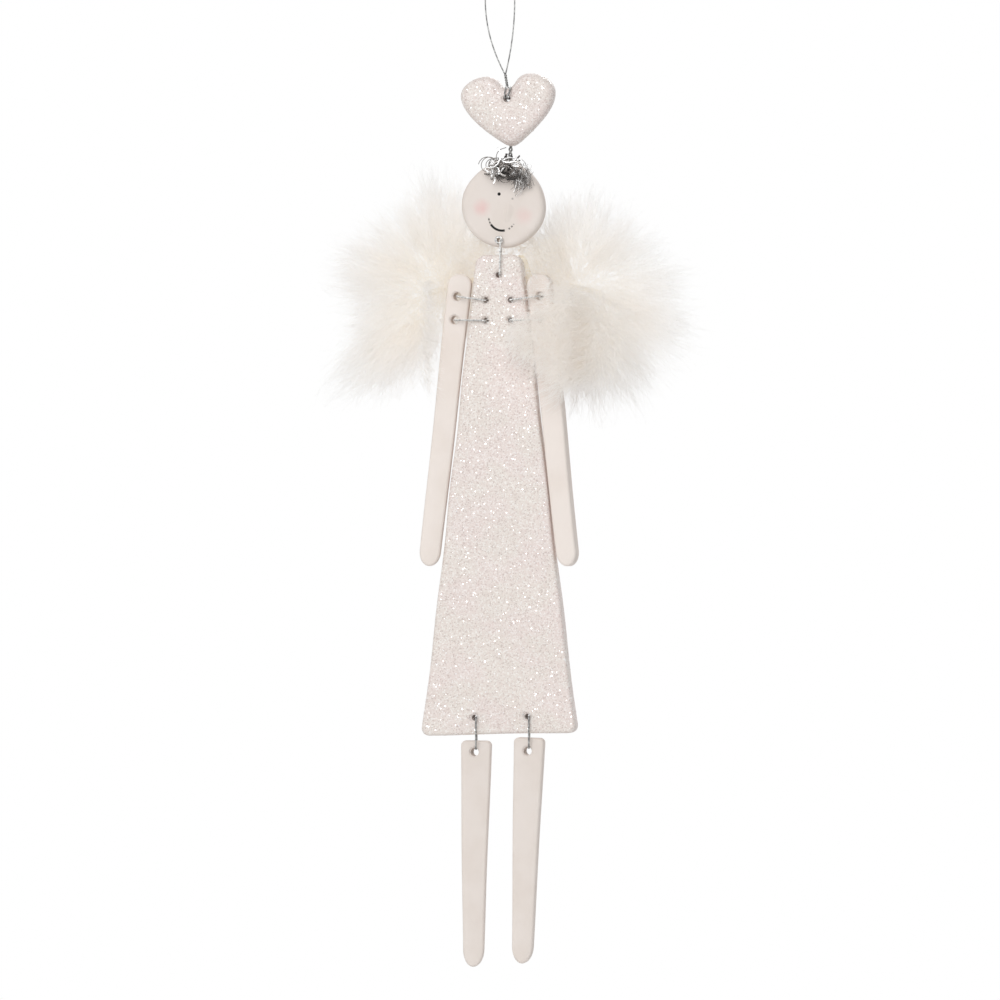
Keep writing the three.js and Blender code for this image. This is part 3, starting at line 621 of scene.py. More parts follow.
crown_hole = hinge["head_nod"]
head_centre = crown_hole - placed(np.array([[0, 0, HEAD_HOLE_RISE]]), 0, HEAD_ROLL)[0]
head_top = head_centre[2] + HEAD_HALF[1]
link_x = heart_hole[0] + (WIRE_THICK + LOOP_THICK) / 4 + STRAND_GAP
over_x = link_x + WIRE_THICK
link_depth = HEART_THICK / 2 + WIRE_CLEAR + WIRE_THICK / 2
cleft_z = heart_hole[2] + HEART_CLEFT
crest_z = cleft_z + EYE_CLEAR + WIRE_THICK / 2
head_depth = HEAD_THICK / 2 + WIRE_CLEAR + WIRE_THICK / 2
head_lift = head_top + WIRE_CLEAR + WIRE_THICK / 2
shank_y = link_depth + STRAND_RADIUS
shank = (
    np.array((link_x, shank_y, heart_hole[2] - SHANK_DROP)),
    np.array((crown_hole[0], shank_y, head_lift + BEND)),
    STRAND_RADIUS,
    SHANK_TURNS,
)
over_cleft = [
    (link_x, link_depth, heart_hole[2] - BEND),
    (link_x, link_depth - BEND, heart_hole[2]),
    (link_x, BEND - link_depth, heart_hole[2]),
    (link_x, -link_depth, heart_hole[2] + BEND),
    (over_x, 0.1 - link_depth, cleft_z - 1.1),
    (over_x, -0.7 * link_depth, cleft_z - 0.1),
    (over_x, 0, crest_z),
    (over_x, 0.7 * link_depth, cleft_z - 0.1),
    (over_x, link_depth - 0.1, cleft_z - 1.1),
    (over_x, link_depth, heart_hole[2]),
]
crown_eye = [
    (crown_hole[0], head_depth / 2, head_lift + BEND / 2),
    (crown_hole[0], -head_depth / 2, head_lift + BEND / 3),
    (crown_hole[0], BEND / 3 - head_depth, head_lift - BEND / 2),
    (crown_hole[0], -head_depth, crown_hole[2] + BEND),
    (crown_hole[0], BEND - head_depth, crown_hole[2]),
    (crown_hole[0], head_depth - BEND, crown_hole[2]),
    (crown_hole[0], head_depth, crown_hole[2] + BEND),
]
link_runs = (over_cleft, twist(*shank, 0, 40), crown_eye, twist(*shank, np.pi, 40)[::-1])
link_path = through(np.concatenate(link_runs), 520)[None]
link_mesh = tubes(link_path, WIRE_THICK / 2, 10, (1, 0.12, 0), closed=True)
fit(piece("heart_wire", *link_mesh, loop_steel), "heart_link", "silver_wire", "heart_link")


# Head: a thin white clay disc with rounded edges, holed at crown and chin. The face is painted on:
# two dots for eyes, a smile in black ink and a touch of rouge on each cheek.
HEAD_EDGE = 1.6
HEAD_CROWN = 0.2
HEAD_WAVES = (0.1, 3.5)
CHIN_FULLNESS = 0.025
HEAD_HOLE = {"width": 1.9, "lip": 0.35}
CLAY_COLOUR = (0.82, 0.75, 0.70)
CLAY_SHADE = (0.79, 0.715, 0.66)
ROUGE = (0.80, 0.51, 0.49)
INK = (0.012, 0.011, 0.011)
EYES = [
    {"place": (0.25, -56.27), "edge": (0.39, 0.51), "strength": 1},
    {"place": (3.95, -57.56), "edge": (0.12, 0.42), "strength": 0.4},
]
SMILE_PLACE = (1.14, -62.41)
SMILE_RADIUS = 3.74
SMILE_STROKES = [
    {"edge": (0.2, 0.42), "begin": (-1.05, -0.95), "end": (0.15, 0.22), "solid": 1, "beaded": 0},
    {"edge": (0.1, 0.3), "begin": (-1.55, -1.45), "end": (-1.05, -0.95), "solid": 0.25, "beaded": 0.65},
    {"edge": (0.12, 0.32), "begin": (0.4, 0.48), "end": (0.95, 1.05), "solid": 0, "beaded": 0.75},
]
CHEEKS = [((-4.6, -59.94), 3.3, 0.62), ((7.0, -62.2), 3.4, 0.36)]


def clay_finish(name, painted_light, paint=None):
    """Dry matt clay with slow tints and a fine dusty grain, made paler or darker by a factor that
    paints light or shade on it.
    paint turns its colour into that of a painted piece."""
    made, start = finish(name, {"Roughness": 0.78, "Specular IOR Level": 0.25})
    slow, fine = start.noise(110.0, 3.0), start.noise(1500.0, 3.0)
    light, dark = (tuple(painted_light * value for value in colour) for colour in (CLAY_COLOUR, CLAY_SHADE))
    colour = slow.between(0.36, 0.66).mix(light, dark)
    if paint:
        colour = paint(start, colour)
    start.feed("Base Color", colour)
    relief = {"Strength": 0.35, "Distance": 0.12 * MM, "Height": 0.7 * slow + 0.3 * fine}
    start.feed("Normal", start.node("ShaderNodeBump", relief))
    return made


def painted_face(start, colour):
    """Rouge and ink on the front of the head, by distance in mm from each painted mark."""
    apart = start.node("ShaderNodeSeparateXYZ", {0: start.place()})
    x, z = (1 / MM) * apart["X"], (1 / MM) * apart["Z"]
    front = 1 - apart["Y"].between(-1.0 * MM, 0)

    def off(place):
        return ((x - place[0]) ** 2 + (z - place[1]) ** 2) ** 0.5

    patchy = start.noise(700.0, 4.0)
    for place, radius, strength in CHEEKS:
        share = (1 - off(place).between(0, radius)) * front * strength * (0.5 + patchy)
        colour = share.mix(colour, ROUGE)
    angle = start.math("ARCTAN2", x - SMILE_PLACE[0], SMILE_PLACE[1] - z)
    beads = start.math("SINE", 26 * angle).between(-0.5, 0.4)
    away = abs(off(SMILE_PLACE) - SMILE_RADIUS)
    ink = 0
    for stroke in SMILE_STROKES:
        drawn = (1 - away.between(*stroke["edge"])) * angle.between(*stroke["begin"])
        drawn = drawn * (1 - angle.between(*stroke["end"]))
        ink = ink + drawn * (stroke["solid"] + stroke["beaded"] * beads)
    for eye in EYES:
        ink = ink + (1 - off(eye["place"]).between(*eye["edge"])) * eye["strength"]
    return start.math("MINIMUM", ink * front, 1).mix(colour, INK)


# Copies of one clay, each scaled as painted light or shade: the arms' clay is painted paler, as if they
# were lit more.
clay = clay_finish("clay", 0.97)
arm_clay_painted_lighter = clay_finish("arm_clay_painted_lighter", 1.05)
face_clay = clay_finish("painted_clay", 0.98, painted_face)
rise = np.linspace(np.pi / 2, -np.pi / 2, 140)
head_wide = HEAD_HALF[0] * (1 - CHIN_FULLNESS * np.sin(rise)) * np.cos(rise)
head_half = np.stack((head_wide, HEAD_HALF[1] * np.sin(rise)), 1)
head_half[[0, -1], 0] = 0
head_points, head_faces = slab(head_half, (0, 0), HEAD_THICK, HEAD_EDGE, HEAD_CROWN, rows=24)
head_points = placed(uneven(head_points, *HEAD_WAVES), head_centre, HEAD_ROLL)
chin_hole = 2 * head_centre - crown_hole
head = piece("head_disc", head_points, head_faces, face_clay)
head = pierced(head, [crown_hole, chin_hole], HEAD_THICK, **HEAD_HOLE)
fit(head, "head", "clay", "head")


# Nose: a slim pellet of the same clay, pressed on while wet and smoothed down into the face, so that
# it stands out by only half a millimetre.
NOSE_HALF = (1.5, 3.3)
NOSE_RISE = 0.45
NOSE_SEAT = 2.36
NOSE_DEEP = 0.5
NOSE_PLACE = (1.75, 0, -2.2)


def ringed(points):
    """Quads between rings of points (rings, corners, 3), each ring with the one after it."""
    index = np.arange(points[..., 0].size).reshape(points.shape[:2])
    near, far = index[:-1], index[1:]
    quads = np.stack((near, far, np.roll(far, -1, 1), np.roll(near, -1, 1)), -1)
    return points.reshape(-1, 3), quads.reshape(-1, 4)


def swelling(half, rise, seat, deep, sides=40, rows=14):
    """A closed lens: its front rises over the seat by (1 - s squared) squared, s the share of the way
    from its middle to its rim, and so runs out level. Its back lies that deep inside the clay."""
    turn = 2 * np.pi * np.arange(sides) / sides
    share = np.concatenate((np.linspace(0, 1, rows), np.linspace(0.9, 0, 3)))[:, None]
    lift = np.concatenate((rise * (1 - share[:rows] ** 2) ** 2, np.full((3, 1), -deep)))
    x, z = half[0] * share * np.cos(turn), half[1] * share * np.sin(turn)
    return ringed(np.stack((x, -seat - lift + 0 * x, z), -1))


nose_points, nose_faces = swelling(NOSE_HALF, NOSE_RISE, NOSE_SEAT, NOSE_DEEP)
nose_points = placed(nose_points + NOSE_PLACE, head_centre, HEAD_ROLL)
fit(closed_up(piece("nose_pellet", nose_points, nose_faces, clay)), "head", "clay", "nose")


# Hair: curls of thin steel wire on the left of the crown, and a tuft of flat crimped tinsel beside
# them, dark and glinting in the middle and falling in fine grey strands on the right, all glued on.
# The dark and the glints are painted reflection, given by each strand's tone.
CURL_THICK = 0.2
CURL_COUNT = 8
CURL_ANGLES = (-26, 6)
CURL_INSET = 3.6
CURL_FRONT = -4.3
CURL_WIDE = (1.75, 0.4)
CURL_ACROSS = (0.2, 1, 0.1)
CURL_TONE = 0.5
LONG_CURL = [
    (0.9, -4.2, -50.6), (0.25, -4.6, -48.6), (0.0, -4.8, -46.3), (0.8, -4.8, -44.6), (2.7, -4.6, -43.8),
]
TUFT = {
    "place": (2.3, -4.5, -49.4), "spread": (2.2, 0.7, 1.7), "count": 85, "sizes": (1.2, 2.7),
    "seed": 24, "spin": 180, "sweep": (50, 170), "crimp": 0.07,
}
TUFT_TONES = {"a": (0.1, 0.35, 0.55, 0.75, 1.0), "p": (0.14, 0.22, 0.26, 0.2, 0.18)}
TUFT_RADII = (0.1, 0.28)
TUFT_FLAT = 0.18
# Strands above this tone are painted glints, and are brought that far forward.
PAINTED_GLINT_TONE = 0.7
PAINTED_GLINT_FORWARD = 1.1
FALL = {
    "place": (6.9, -4.0, -52.2), "spread": (1.4, 0.5, 1.6), "count": 130, "sizes": (2.5, 6.0),
    "seed": 31, "spin": 45, "sweep": (15, 60), "crimp": 0.1,
}
FALL_TONES = (0.45, 1.0)
FALL_RADIUS = 0.06
FALL_FLAT = 0.5
# Tones of the tinsel as painted reflection: nearly black where it would mirror shade, white as painted
# glints.
TINSEL_PAINTED_REFLECTIONS = [
    (0, (0.035, 0.033, 0.032)),
    (0.55, (0.17, 0.155, 0.145)),
    (0.8, (0.42, 0.4, 0.385)),
    (1, WHITE),
]


def crimped(place, spread, count, sizes, seed, spin, sweep, crimp, points=30):
    """Strands of crimped film: arcs of circles strewn about a place, begun within the spin of level
    and as long as the sweep, with a ripple that runs along each and pushes it in and out."""
    toss = np.random.default_rng(seed)
    middle = np.array(place) + np.clip(toss.normal(0, 1, (count, 1, 3)), -1.5, 1.5) * spread
    size = toss.uniform(*sizes, (count, 1))
    share = np.linspace(0, 1, points)
    begin = toss.uniform(-spin, spin, (count, 1))
    angle = np.radians(begin + toss.uniform(*sweep, (count, 1)) * (share - 0.5))
    ripple = crimp * np.sin(2 * np.pi * toss.uniform(5, 9, (count, 1)) * share)
    out = size * toss.uniform(0.75, 1.2, (count, 1)) + ripple
    tall = toss.uniform(0.6, 1.25, (count, 1))
    depth = 0.3 * size * np.sin(angle + toss.uniform(0, 6, (count, 1)))
    arc = np.stack((out * np.cos(angle), depth, tall * out * np.sin(angle)), -1)
    return middle + arc - arc.mean(1, keepdims=True)


def facing(count, seed):
    """The way each strand's flat side looks: towards the viewer, a little astray."""
    toss = np.random.default_rng(seed)
    return unit(np.array((0, -1, 0)) + toss.normal(0, 0.45, (count, 1, 3)))


def hair(name, paths, radii, sides, across, tones, *nodes, flat=1):
    """Strands on the head, each of a tone of its own, which paints its reflection."""
    points, faces = tubes(paths, radii, sides, across, flat=flat)
    tone = np.repeat(tones, len(points) // len(paths))
    fit(piece(name, points, faces, tinsel, tone=tone), "head", "tinsel", *nodes)


# Metal film: each strand has a tone, from nearly black to bright, that paints its reflection: dark for
# mirrored shade, white for painted glints.
tinsel, start = finish("tinsel", {"Metallic": 1.0, "Roughness": 0.24})
tint = start.node("ShaderNodeValToRGB", {0: start.each("tone")}, stops=TINSEL_PAINTED_REFLECTIONS)
start.feed("Base Color", tint)

curl_share = np.linspace(0, 1, 260)
curl_angle = np.radians(CURL_ANGLES[0] + (CURL_ANGLES[1] - CURL_ANGLES[0]) * curl_share)
curl_reach = HEAD_HALF[1] - CURL_INSET * curl_share**2
curl_turn = 2 * np.pi * CURL_COUNT * curl_share
curl_wide = CURL_WIDE[0] + CURL_WIDE[1] * np.sin(2.3 * curl_turn / CURL_COUNT + 0.6)
curl_path = np.stack(
    (
        curl_reach * np.sin(curl_angle) - curl_wide * np.cos(curl_turn),
        CURL_FRONT + 0.5 * np.sin(curl_turn) + 0.35 * np.sin(0.37 * curl_turn),
        curl_reach * np.cos(curl_angle) + curl_wide * np.sin(curl_turn),
    ),
    1,
)
curl_path = placed(curl_path, head_centre, HEAD_ROLL)[None]
hair("hair_curl_wire", curl_path, CURL_THICK / 2, 6, CURL_ACROSS, CURL_TONE, "hair_curls")
long_path = through(np.array(LONG_CURL), 40, closed=False)[None]
hair("hair_long_curl", long_path, CURL_THICK / 2, 6, CURL_ACROSS, CURL_TONE)

tuft_paths = crimped(**TUFT)
tuft_toss = np.random.default_rng(22)
tuft_radius = tuft_toss.uniform(*TUFT_RADII, (TUFT["count"], 1))
tuft_tone = tuft_toss.choice(**TUFT_TONES, size=TUFT["count"])
# Strands painted bright as glints are brought forward over the rest.
tuft_paths[..., 1] -= PAINTED_GLINT_FORWARD * (tuft_tone > PAINTED_GLINT_TONE)[:, None]
tuft_side = facing(TUFT["count"], 23)
hair("hair_tuft", tuft_paths, tuft_radius, 6, tuft_side, tuft_tone, "hair_tinsel", flat=TUFT_FLAT)
fall_side = facing(FALL["count"], 33)
fall_tone = np.random.default_rng(34).uniform(*FALL_TONES, FALL["count"])
hair("hair_fall", crimped(**FALL), FALL_RADIUS, 4, fall_side, fall_tone, flat=FALL_FLAT)


# Neck wire: a ring of two fine twisted wires through the chin hole and the hole at the dress's neck.
# Its loose ends are wound to a small knot in front of the chin.
DRESS_THICK = 5
TWINE_THICK = 0.29
TWINE_RADIUS = 0.15
TWINE_PITCH = 1.5
RING_TURN = 0.18
RING_DEPTH = DRESS_THICK / 2 + WIRE_CLEAR + WIRE_THICK / 2
KNOT_TURNS = 2.6
KNOT_RADIUS = 0.85
KNOT_PLACE = (0.1, -3.4, 0.3)
NECK_WIRE_BEND = (3.6, 0.9)

neck_hole = hinge["dress_swing"]


def ring_path(hole_a, hole_b, count, turn=0):
    """A ring through two holes: straight along both faces of the clay, rounded at its corners. turn
    is how far it hangs turned in the holes, in mm to the side for each mm of depth."""
    along = unit(hole_b - hole_a)
    length = np.linalg.norm(hole_b - hole_a)
    quarter = np.radians(90) * np.linspace(0, 1, 5)
    angle = np.concatenate([quarter + np.radians(90) * (k - 1) for k in range(4)])
    run = np.repeat((length - BEND, length - BEND, BEND, BEND), 5) + BEND * np.cos(angle)
    depth = np.repeat(np.array((-1, 1, 1, -1)) * (RING_DEPTH - BEND), 5) + BEND * np.sin(angle)
    corners = hole_a + along * run[:, None] + np.array((-turn, 1, 0)) * depth[:, None]
    return evenly(np.concatenate((corners, corners[:1])), count, closed=True)


def twined_ring(name, hole_a, hole_b, across, bodies, node, turn=0):
    """A ring of two strands that wind about its path once in each pitch, in place of that solid."""
    path = ring_path(hole_a, hole_b, 260, turn)
    length = np.linalg.norm(np.roll(path, -1, 0) - path, axis=1).sum()
    turns = max(1, round(length / TWINE_PITCH))
    ahead = unit(np.roll(path, -1, 0) - np.roll(path, 1, 0))
    side = unit(np.cross(ahead, across))
    up = np.cross(side, ahead)
    angle = (2 * np.pi * turns * np.arange(len(path)) / len(path))[:, None]
    offset = TWINE_RADIUS * (side * np.cos(angle) + up * np.sin(angle))
    strands = np.stack((path + offset, path - offset))
    mesh = tubes(strands, TWINE_THICK / 2, 8, across, closed=True)
    fit(piece(name, *mesh, silver), bodies, "silver_wire", node)


neck_bodies = ("neck_link", "dress", *[(neck_hole + (0, 0, up)) * MM for up in NECK_WIRE_BEND])
twined_ring("neck_wire", chin_hole, neck_hole, (1, 0, 0), neck_bodies, "neck_link", RING_TURN)
knot_turn = np.linspace(0, 2 * np.pi * KNOT_TURNS, 70)
knot_wide = KNOT_RADIUS * (1 + 0.22 * np.sin(1.4 * knot_turn))
knot_y = 0.2 * np.sin(1.3 * knot_turn)
knot_path = np.stack((knot_wide * np.cos(knot_turn), knot_y, 0.9 * knot_wide * np.sin(knot_turn)), 1)
knot_mesh = tubes((knot_path + chin_hole + KNOT_PLACE)[None], TWINE_THICK / 2, 6, (0.1, 1, 0.1))
fit(piece("neck_wire_knot", *knot_mesh, silver), "neck_link", "silver_wire")


# Dress: a long clay slab, narrow at the neck and wide at the hem, its corners rounded and its hem
# a little askew, pierced for seven wires, brushed with glue and rolled in glitter.
DRESS_LENGTH = 129.9
DRESS_HALF = (6.1, 20.9)
DRESS_CORNERS = (3.2, 2.8)
DRESS_SPINE_INSETS = (9, 4)
DRESS_EDGE = 0.9
DRESS_CROWN = 0.15
DRESS_WAVES = (0.14, 7)
DRESS_FLAKES = 15500
NECK_INSET = 5.5
DRESS_HOLE = {"width": 1.5, "lip": 0.4}
HEM_SKEW = 1
HEM_FLARE = 0.025
SHOULDER_X = 3.4
SHOULDER_DROPS = (12.3, 17.8)

dress_top = neck_hole[2] + NECK_INSET
dress_hem = dress_top - DRESS_LENGTH


def rounded(corners, radii, count):
    """An open outline with each inner corner swapped for a curve of its radius."""
    corners = np.asarray(corners, float)
    line = [corners[:1]]
    t = np.linspace(0, 1, 24)[:, None]
    for before, corner, after, radius in zip(corners, corners[1:], corners[2:], radii):
        start = corner + radius * unit(before - corner)
        end = corner + radius * unit(after - corner)
        line.append(start * (1 - t) ** 2 + 2 * corner * t * (1 - t) + end * t**2)
    return evenly(np.concatenate(line + [corners[-1:]]), count)


dress_corners = [(0, dress_top), (DRESS_HALF[0], dress_top), (DRESS_HALF[1], dress_hem), (0, dress_hem)]
dress_half = rounded(dress_corners, DRESS_CORNERS, 260)
dress_spine = (dress_hem + DRESS_SPINE_INSETS[0], dress_top - DRESS_SPINE_INSETS[1])
dress_points, dress_faces = slab(dress_half, dress_spine, DRESS_THICK, DRESS_EDGE, DRESS_CROWN)
fallen = (dress_top - dress_points[:, 2]) / DRESS_LENGTH
dress_points[:, 2] += fallen**3 * HEM_SKEW * (0.5 + dress_points[:, 0] / (2 * DRESS_HALF[1]))
dress_points[:, 0] *= 1 + HEM_FLARE * fallen**5
dress_points = uneven(dress_points, *DRESS_WAVES)
dress_holes = [neck_hole]
dress_holes += [(x, 0, dress_top - drop) for x in (-SHOULDER_X, SHOULDER_X) for drop in SHOULDER_DROPS]
dress_holes += [hinge["left_leg_sway"], hinge["right_leg_sway"]]
dress = piece("dress_slab", dress_points, dress_faces, glitter)
dress = pierced(dress, dress_holes, DRESS_THICK, **DRESS_HOLE)
fit(dress, "dress", "glitter_clay", "dress")
flakes(dress, "dress", neck_hole, DRESS_FLAKES, 4)


# Arms: plain clay strips with round ends that hang along the sides of the dress, each tied on by
# two rings of twisted wire.
ARM = {"length": 79.2, "halves": (3.2, 2.8), "corner": 2.9, "tip": 4, "inset": 6, "look": arm_clay_painted_lighter}
ARM_HOLE_PITCH = 6.4
ARM_WIRE_BEND = (0.9, 4.2)
ARM_HANGS = {"left": -0.2, "right": 0.5}
ARM_TURNS = {"left": 8, "right": -3}
LIMB_THICK = 4.5
LIMB_EDGE = 0.8
LIMB_CROWN = 0.12
LIMB_WAVES = (0.07, 11)
LIMB_HOLE = {"width": 2.2, "lip": 0.35}


def limb(name, holes, roll, turn, seed, length, halves, corner, tip, inset, look):
    """A clay strip about its upper hole: square-shouldered, tapering to a half-oval tip. It hangs
    rolled about Y and turned about Z, in degrees."""
    foot = inset - length
    arc = np.linspace(0, np.pi / 2, 30)
    shoulder_x = halves[0] - corner + corner * np.sin(arc)
    shoulder = np.stack((shoulder_x, inset - corner + corner * np.cos(arc)), 1)
    toe = np.stack((halves[1] * np.cos(arc), foot + tip - tip * np.sin(arc)), 1)
    half = evenly(np.concatenate(([(0, inset)], shoulder, toe)), 190)
    half[-1, 0] = 0
    spine = (foot + halves[1], inset - halves[0])
    points, faces = slab(half, spine, LIMB_THICK, LIMB_EDGE, LIMB_CROWN)
    points = placed(uneven(points + (0, 0, seed), *LIMB_WAVES) - (0, 0, seed), 0, roll)
    c, s = math.cos(math.radians(turn)), math.sin(math.radians(turn))
    x, y, z = points.T
    points = np.stack((c * x - s * y, s * x + c * y, z), 1) + holes[0]
    return pierced(piece(name, points, faces, look), holes, LIMB_THICK, **LIMB_HOLE)


arm_lean = math.degrees(math.atan((DRESS_HALF[1] - DRESS_HALF[0]) / DRESS_LENGTH))
for name, side, seed in (("left", -1, 0), ("right", 1, 40)):
    roll = -side * arm_lean
    upper = hinge[name + "_arm_turn"]
    lower = placed(np.array([[0, 0, -ARM_HOLE_PITCH]]), upper, roll)[0]
    arm_hang = roll + ARM_HANGS[name]
    arm = limb(name + "_arm_strip", [upper, lower], arm_hang, ARM_TURNS[name], seed, **ARM)
    fit(arm, name + "_arm", "clay", name + "_arm")
    for row, drop, arm_hole in zip(("upper", "lower"), SHOULDER_DROPS, (upper, lower)):
        dress_hole = np.array((side * SHOULDER_X, 0, dress_top - drop))
        node = f"{name}_{row}_arm_wire"
        bend = [(dress_hole + (side * out, 0, 0)) * MM for out in ARM_WIRE_BEND]
        bodies = ("dress", name + "_arm_wires", *bend)
        twined_ring(node + "_twist", dress_hole, arm_hole, (0, 0, 1), bodies, node)


# Legs: two clay strips with squarer tops and pointed feet that swing from rings of plain wire
# through the hem.
LEG = {"length": 61, "halves": (4.1, 2.8), "corner": 1.3, "tip": 4.8, "look": clay}
LEG_INSETS = {"left": 3, "right": 3.6}
LEG_ROLLS = {"left": 0.8, "right": 1.9}
LEG_TURNS = {"left": 8, "right": 5}
LEG_WIRE = 0.46
LEG_WIRE_BEND = (4.4, 1.4)
LEG_WIRE_LIFT = (0, 0, LIMB_HOLE["width"] / 2 - LEG_WIRE / 2 - 0.05)

for name, seed in (("left", 15), ("right", 62)):
    hole = hinge[name + "_leg_swing"]
    leg_hang = LEG_ROLLS[name], LEG_TURNS[name], seed
    leg = limb(name + "_leg_strip", [hole], *leg_hang, inset=LEG_INSETS[name], **LEG)
    fit(leg, name + "_leg", "clay", name + "_leg")
    leg_ring = ring_path(hinge[name + "_leg_sway"], hole + LEG_WIRE_LIFT, 160, RING_TURN)[None]
    leg_mesh = tubes(leg_ring, LEG_WIRE / 2, 10, (1, 0, 0), closed=True)
    leg_bend = [(hole + (0, 0, up)) * MM for up in LEG_WIRE_BEND]
    leg_bodies = (name + "_leg_link", name + "_leg", *leg_bend)
    fit(piece(name + "_leg_wire", *leg_mesh, loop_steel), leg_bodies, "silver_wire", name + "_leg_link")


# Wings: puffs of white marabou down behind the shoulders. Their soft barbs fan out from a bundle of
# cream quills, and each bundle is stuck to the back of the dress with a dab of yellowish glue.
WING_ROOT = (17.6, 14, -81.08)
LEFT_REACH = {
    -14: 25, -8: 27, 4: 31, 10: 31, 16: 31.5, 28: 26, 38: 26.5, 46: 28, 60: 28, 69: 33.5, 79: 32.5,
    89: 31, 98: 29.5, 113: 30, 120: 35, 126: 40, 131: 43, 139: 40.5, 148: 35, 156: 30, 163: 23, 170: 19,
    182: 17, 196: 16, 215: 15, 240: 14, 270: 15, 300: 17, 325: 21, 346: 25,
}
RIGHT_REACH = {
    -22: 22, -14: 24, 8: 26, 19: 25.5, 36: 25, 55: 25.5, 70: 26.5, 80: 30, 90: 32, 97: 31, 107: 35,
    119: 35.5, 127: 34.5, 139: 34, 150: 37, 160: 34.5, 170: 34.5, 180: 32.5, 194: 28, 208: 23, 225: 18,
    250: 15, 280: 15, 310: 18, 338: 22,
}
FILL_BARBS = {"left": 5400, "right": 4700}
FILL_REACH = 0.86
FILL_LENGTHS = (3.5, 9)
FILL_FRONT = 4.2
ROOT_BARBS = 600
ROOT_SPREAD = 2.4
RIM_TUFTS = 110
RIM_BARBS = 36
RIM_REACH = 1.03
RIM_UNEVEN = 0.07
RIM_POINT = 0.34
RIM_LENGTHS = (0.28, 0.6)
STRAY_BARBS = 480
STRAY_BASE = 0.6
STRAY_REACH = (0.98, 1.16)
NECK_DOWN = {"low": (2, 3, -85), "high": (15, 10, -68), "count": 1100, "spread": 2.2}
COLLAR_DOWN = {"low": (7.6, -1, -77), "high": (15, 8, -68.5), "count": 320, "spread": 1.7}
NAPE_DOWN = {"low": (-1, 5, -76), "high": (8, 10, -66), "count": 200, "spread": (1.8, 0.72, 1.8)}
RUFF_DOWN = {"low": (7.2, -5.5, -86), "high": (11, -4, -73), "count": 160, "spread": (1.5, 0.6, 1.5)}
NECK_FRONT = 3
COLLAR_SIDE = 7.4
COLLAR_LOW = -77.4
RUFF_SIDE = 6.4
RUFF_DEPTHS = (-6.5, -3.8)
NECK_SHADES = (0.12, 0.26)
FRONT_SHADES = (0.35, 0.7)
EDGE_SHADES = (0.4, 0.75)
WRAP_BARBS = 1700
WRAP_HEIGHTS = (-80, -107)
WRAP_BASE_X = (19.3, 28.3)
WRAP_BASE_Y = (-2, 9)
WRAP_FALLS = (-2, 10)
WRAP_TIP_X = (21, 7.5)
WRAP_TIP_Y = (-9.5, -5.2)
WRAP_FRONT = -5.5
WRAP_SWELL = 7
WRAP_ARCH = (-95, 16)
BULGE_BARBS = 2000
BULGE_CENTRE = (27, 2, -95)
BULGE_HALF = (8.5, 7.5, 12)
BULGE_FROM = (27, 6, -91)
BULGE_LENGTHS = (3, 8)
BULGE_FRONTS = (-11.5, -7)
BULGE_INSIDE = 19.4
BESIDE_ARM = {"x": 19, "y": -4}
COVER_BARBS = 2100
COVER_PLACE = (20, -5.2, -82)
COVER_WIDE = 16
COVER_TALL = 27
COVER_THICK = 5
COVER_ARCH = (-97, 17)
COVER_WAY = (-0.5, 0, -0.6)
COVER_LENGTHS = (3, 7)
COVER_DEPTHS = (-11, -4.9)
SHOULDER_BOX = {"low": (14, -7, -90), "high": (20.5, -5, -79), "size": (240, 3)}
EDGE_BARBS = 500
EDGE_TOP = -79
EDGE_TALL = 28
EDGE_BASE_X = (19.5, 23)
EDGE_BASE_Y = (0, 9)
EDGE_FALLS = (-2, 7)
EDGE_TIP_X = (-18, -13.5)
EDGE_TIP_Y = (-7, -5)
EDGE_BEND_X = -19.5
EDGE_BEND_Y = (-9, -6)
WING_PIECES = 3
BARB_THICK = 0.08
BARB_POINTS = 6
LEFT_WARMTH = 0.2
# Painted shade: how far the barbs of each wing, and of the tuft in front, are darkened towards a grey.
DOWN_PAINTED_SHADE = {"left": 4.0, "right": 0.7, "front": 8.0}
DOWN_SHADE_COLOUR = (0.93, 0.91, 0.88)
DOWN_TINTS = [
    (0, (0.974, 0.934, 0.862)),
    (0.35, (0.983, 0.96, 0.928)),
    (0.7, (0.993, 0.979, 0.963)),
    (1, (0.996, 0.986, 0.976)),
]


def barb_mesh(base, middle, tip, toss):
    """Barbs as three-sided strands that thin towards their tips, each along the curve from its base
    to its tip that its middle point pulls aside, with a slight wave."""
    count = len(base)
    share = np.linspace(0, 1, BARB_POINTS)[:, None]
    base, middle, tip = base[:, None], middle[:, None], tip[:, None]
    path = base * (1 - share) ** 2 + 2 * middle * share * (1 - share) + tip * share**2
    wave = toss.normal(0, 0.3, (count, 1, 3)) * np.sin(7 * share + toss.uniform(0, 6, (count, 1, 1)))
    path = path + wave * share
    thick = BARB_THICK / 2 * np.linspace(1, 0.3, BARB_POINTS) * toss.uniform(0.7, 1.2, (count, 1))
    return tubes(path, thick, 3, unit(toss.normal(size=(count, 1, 3))))


def strewn(toss, low, high, count, spread, side=1):
    """Short barbs strewn in a box, on one side or the other: their bases, and tips about these."""
    base = toss.uniform(low, high, (count, 3)) * (side, 1, 1)
    return base, base + toss.normal(0, spread, (count, 3))


def astray(base, tip, toss, spread):
    """The middle points of barbs that bend at random."""
    return (base + tip) / 2 + toss.normal(0, spread, base.shape)


def bowed(base, tip, bend):
    """The middle points of barbs that bend aside by a share of their length."""
    along = tip - base
    aside = np.stack((-along[:, 2], 0 * bend, along[:, 0]), 1)
    return (base + tip) / 2 + bend[:, None] * aside


def arched(heights, middle, half):
    """1 at the middle height, and less above and below it along a half circle."""
    return np.sqrt(np.clip(1 - ((heights - middle) / half) ** 2, 0, 1))


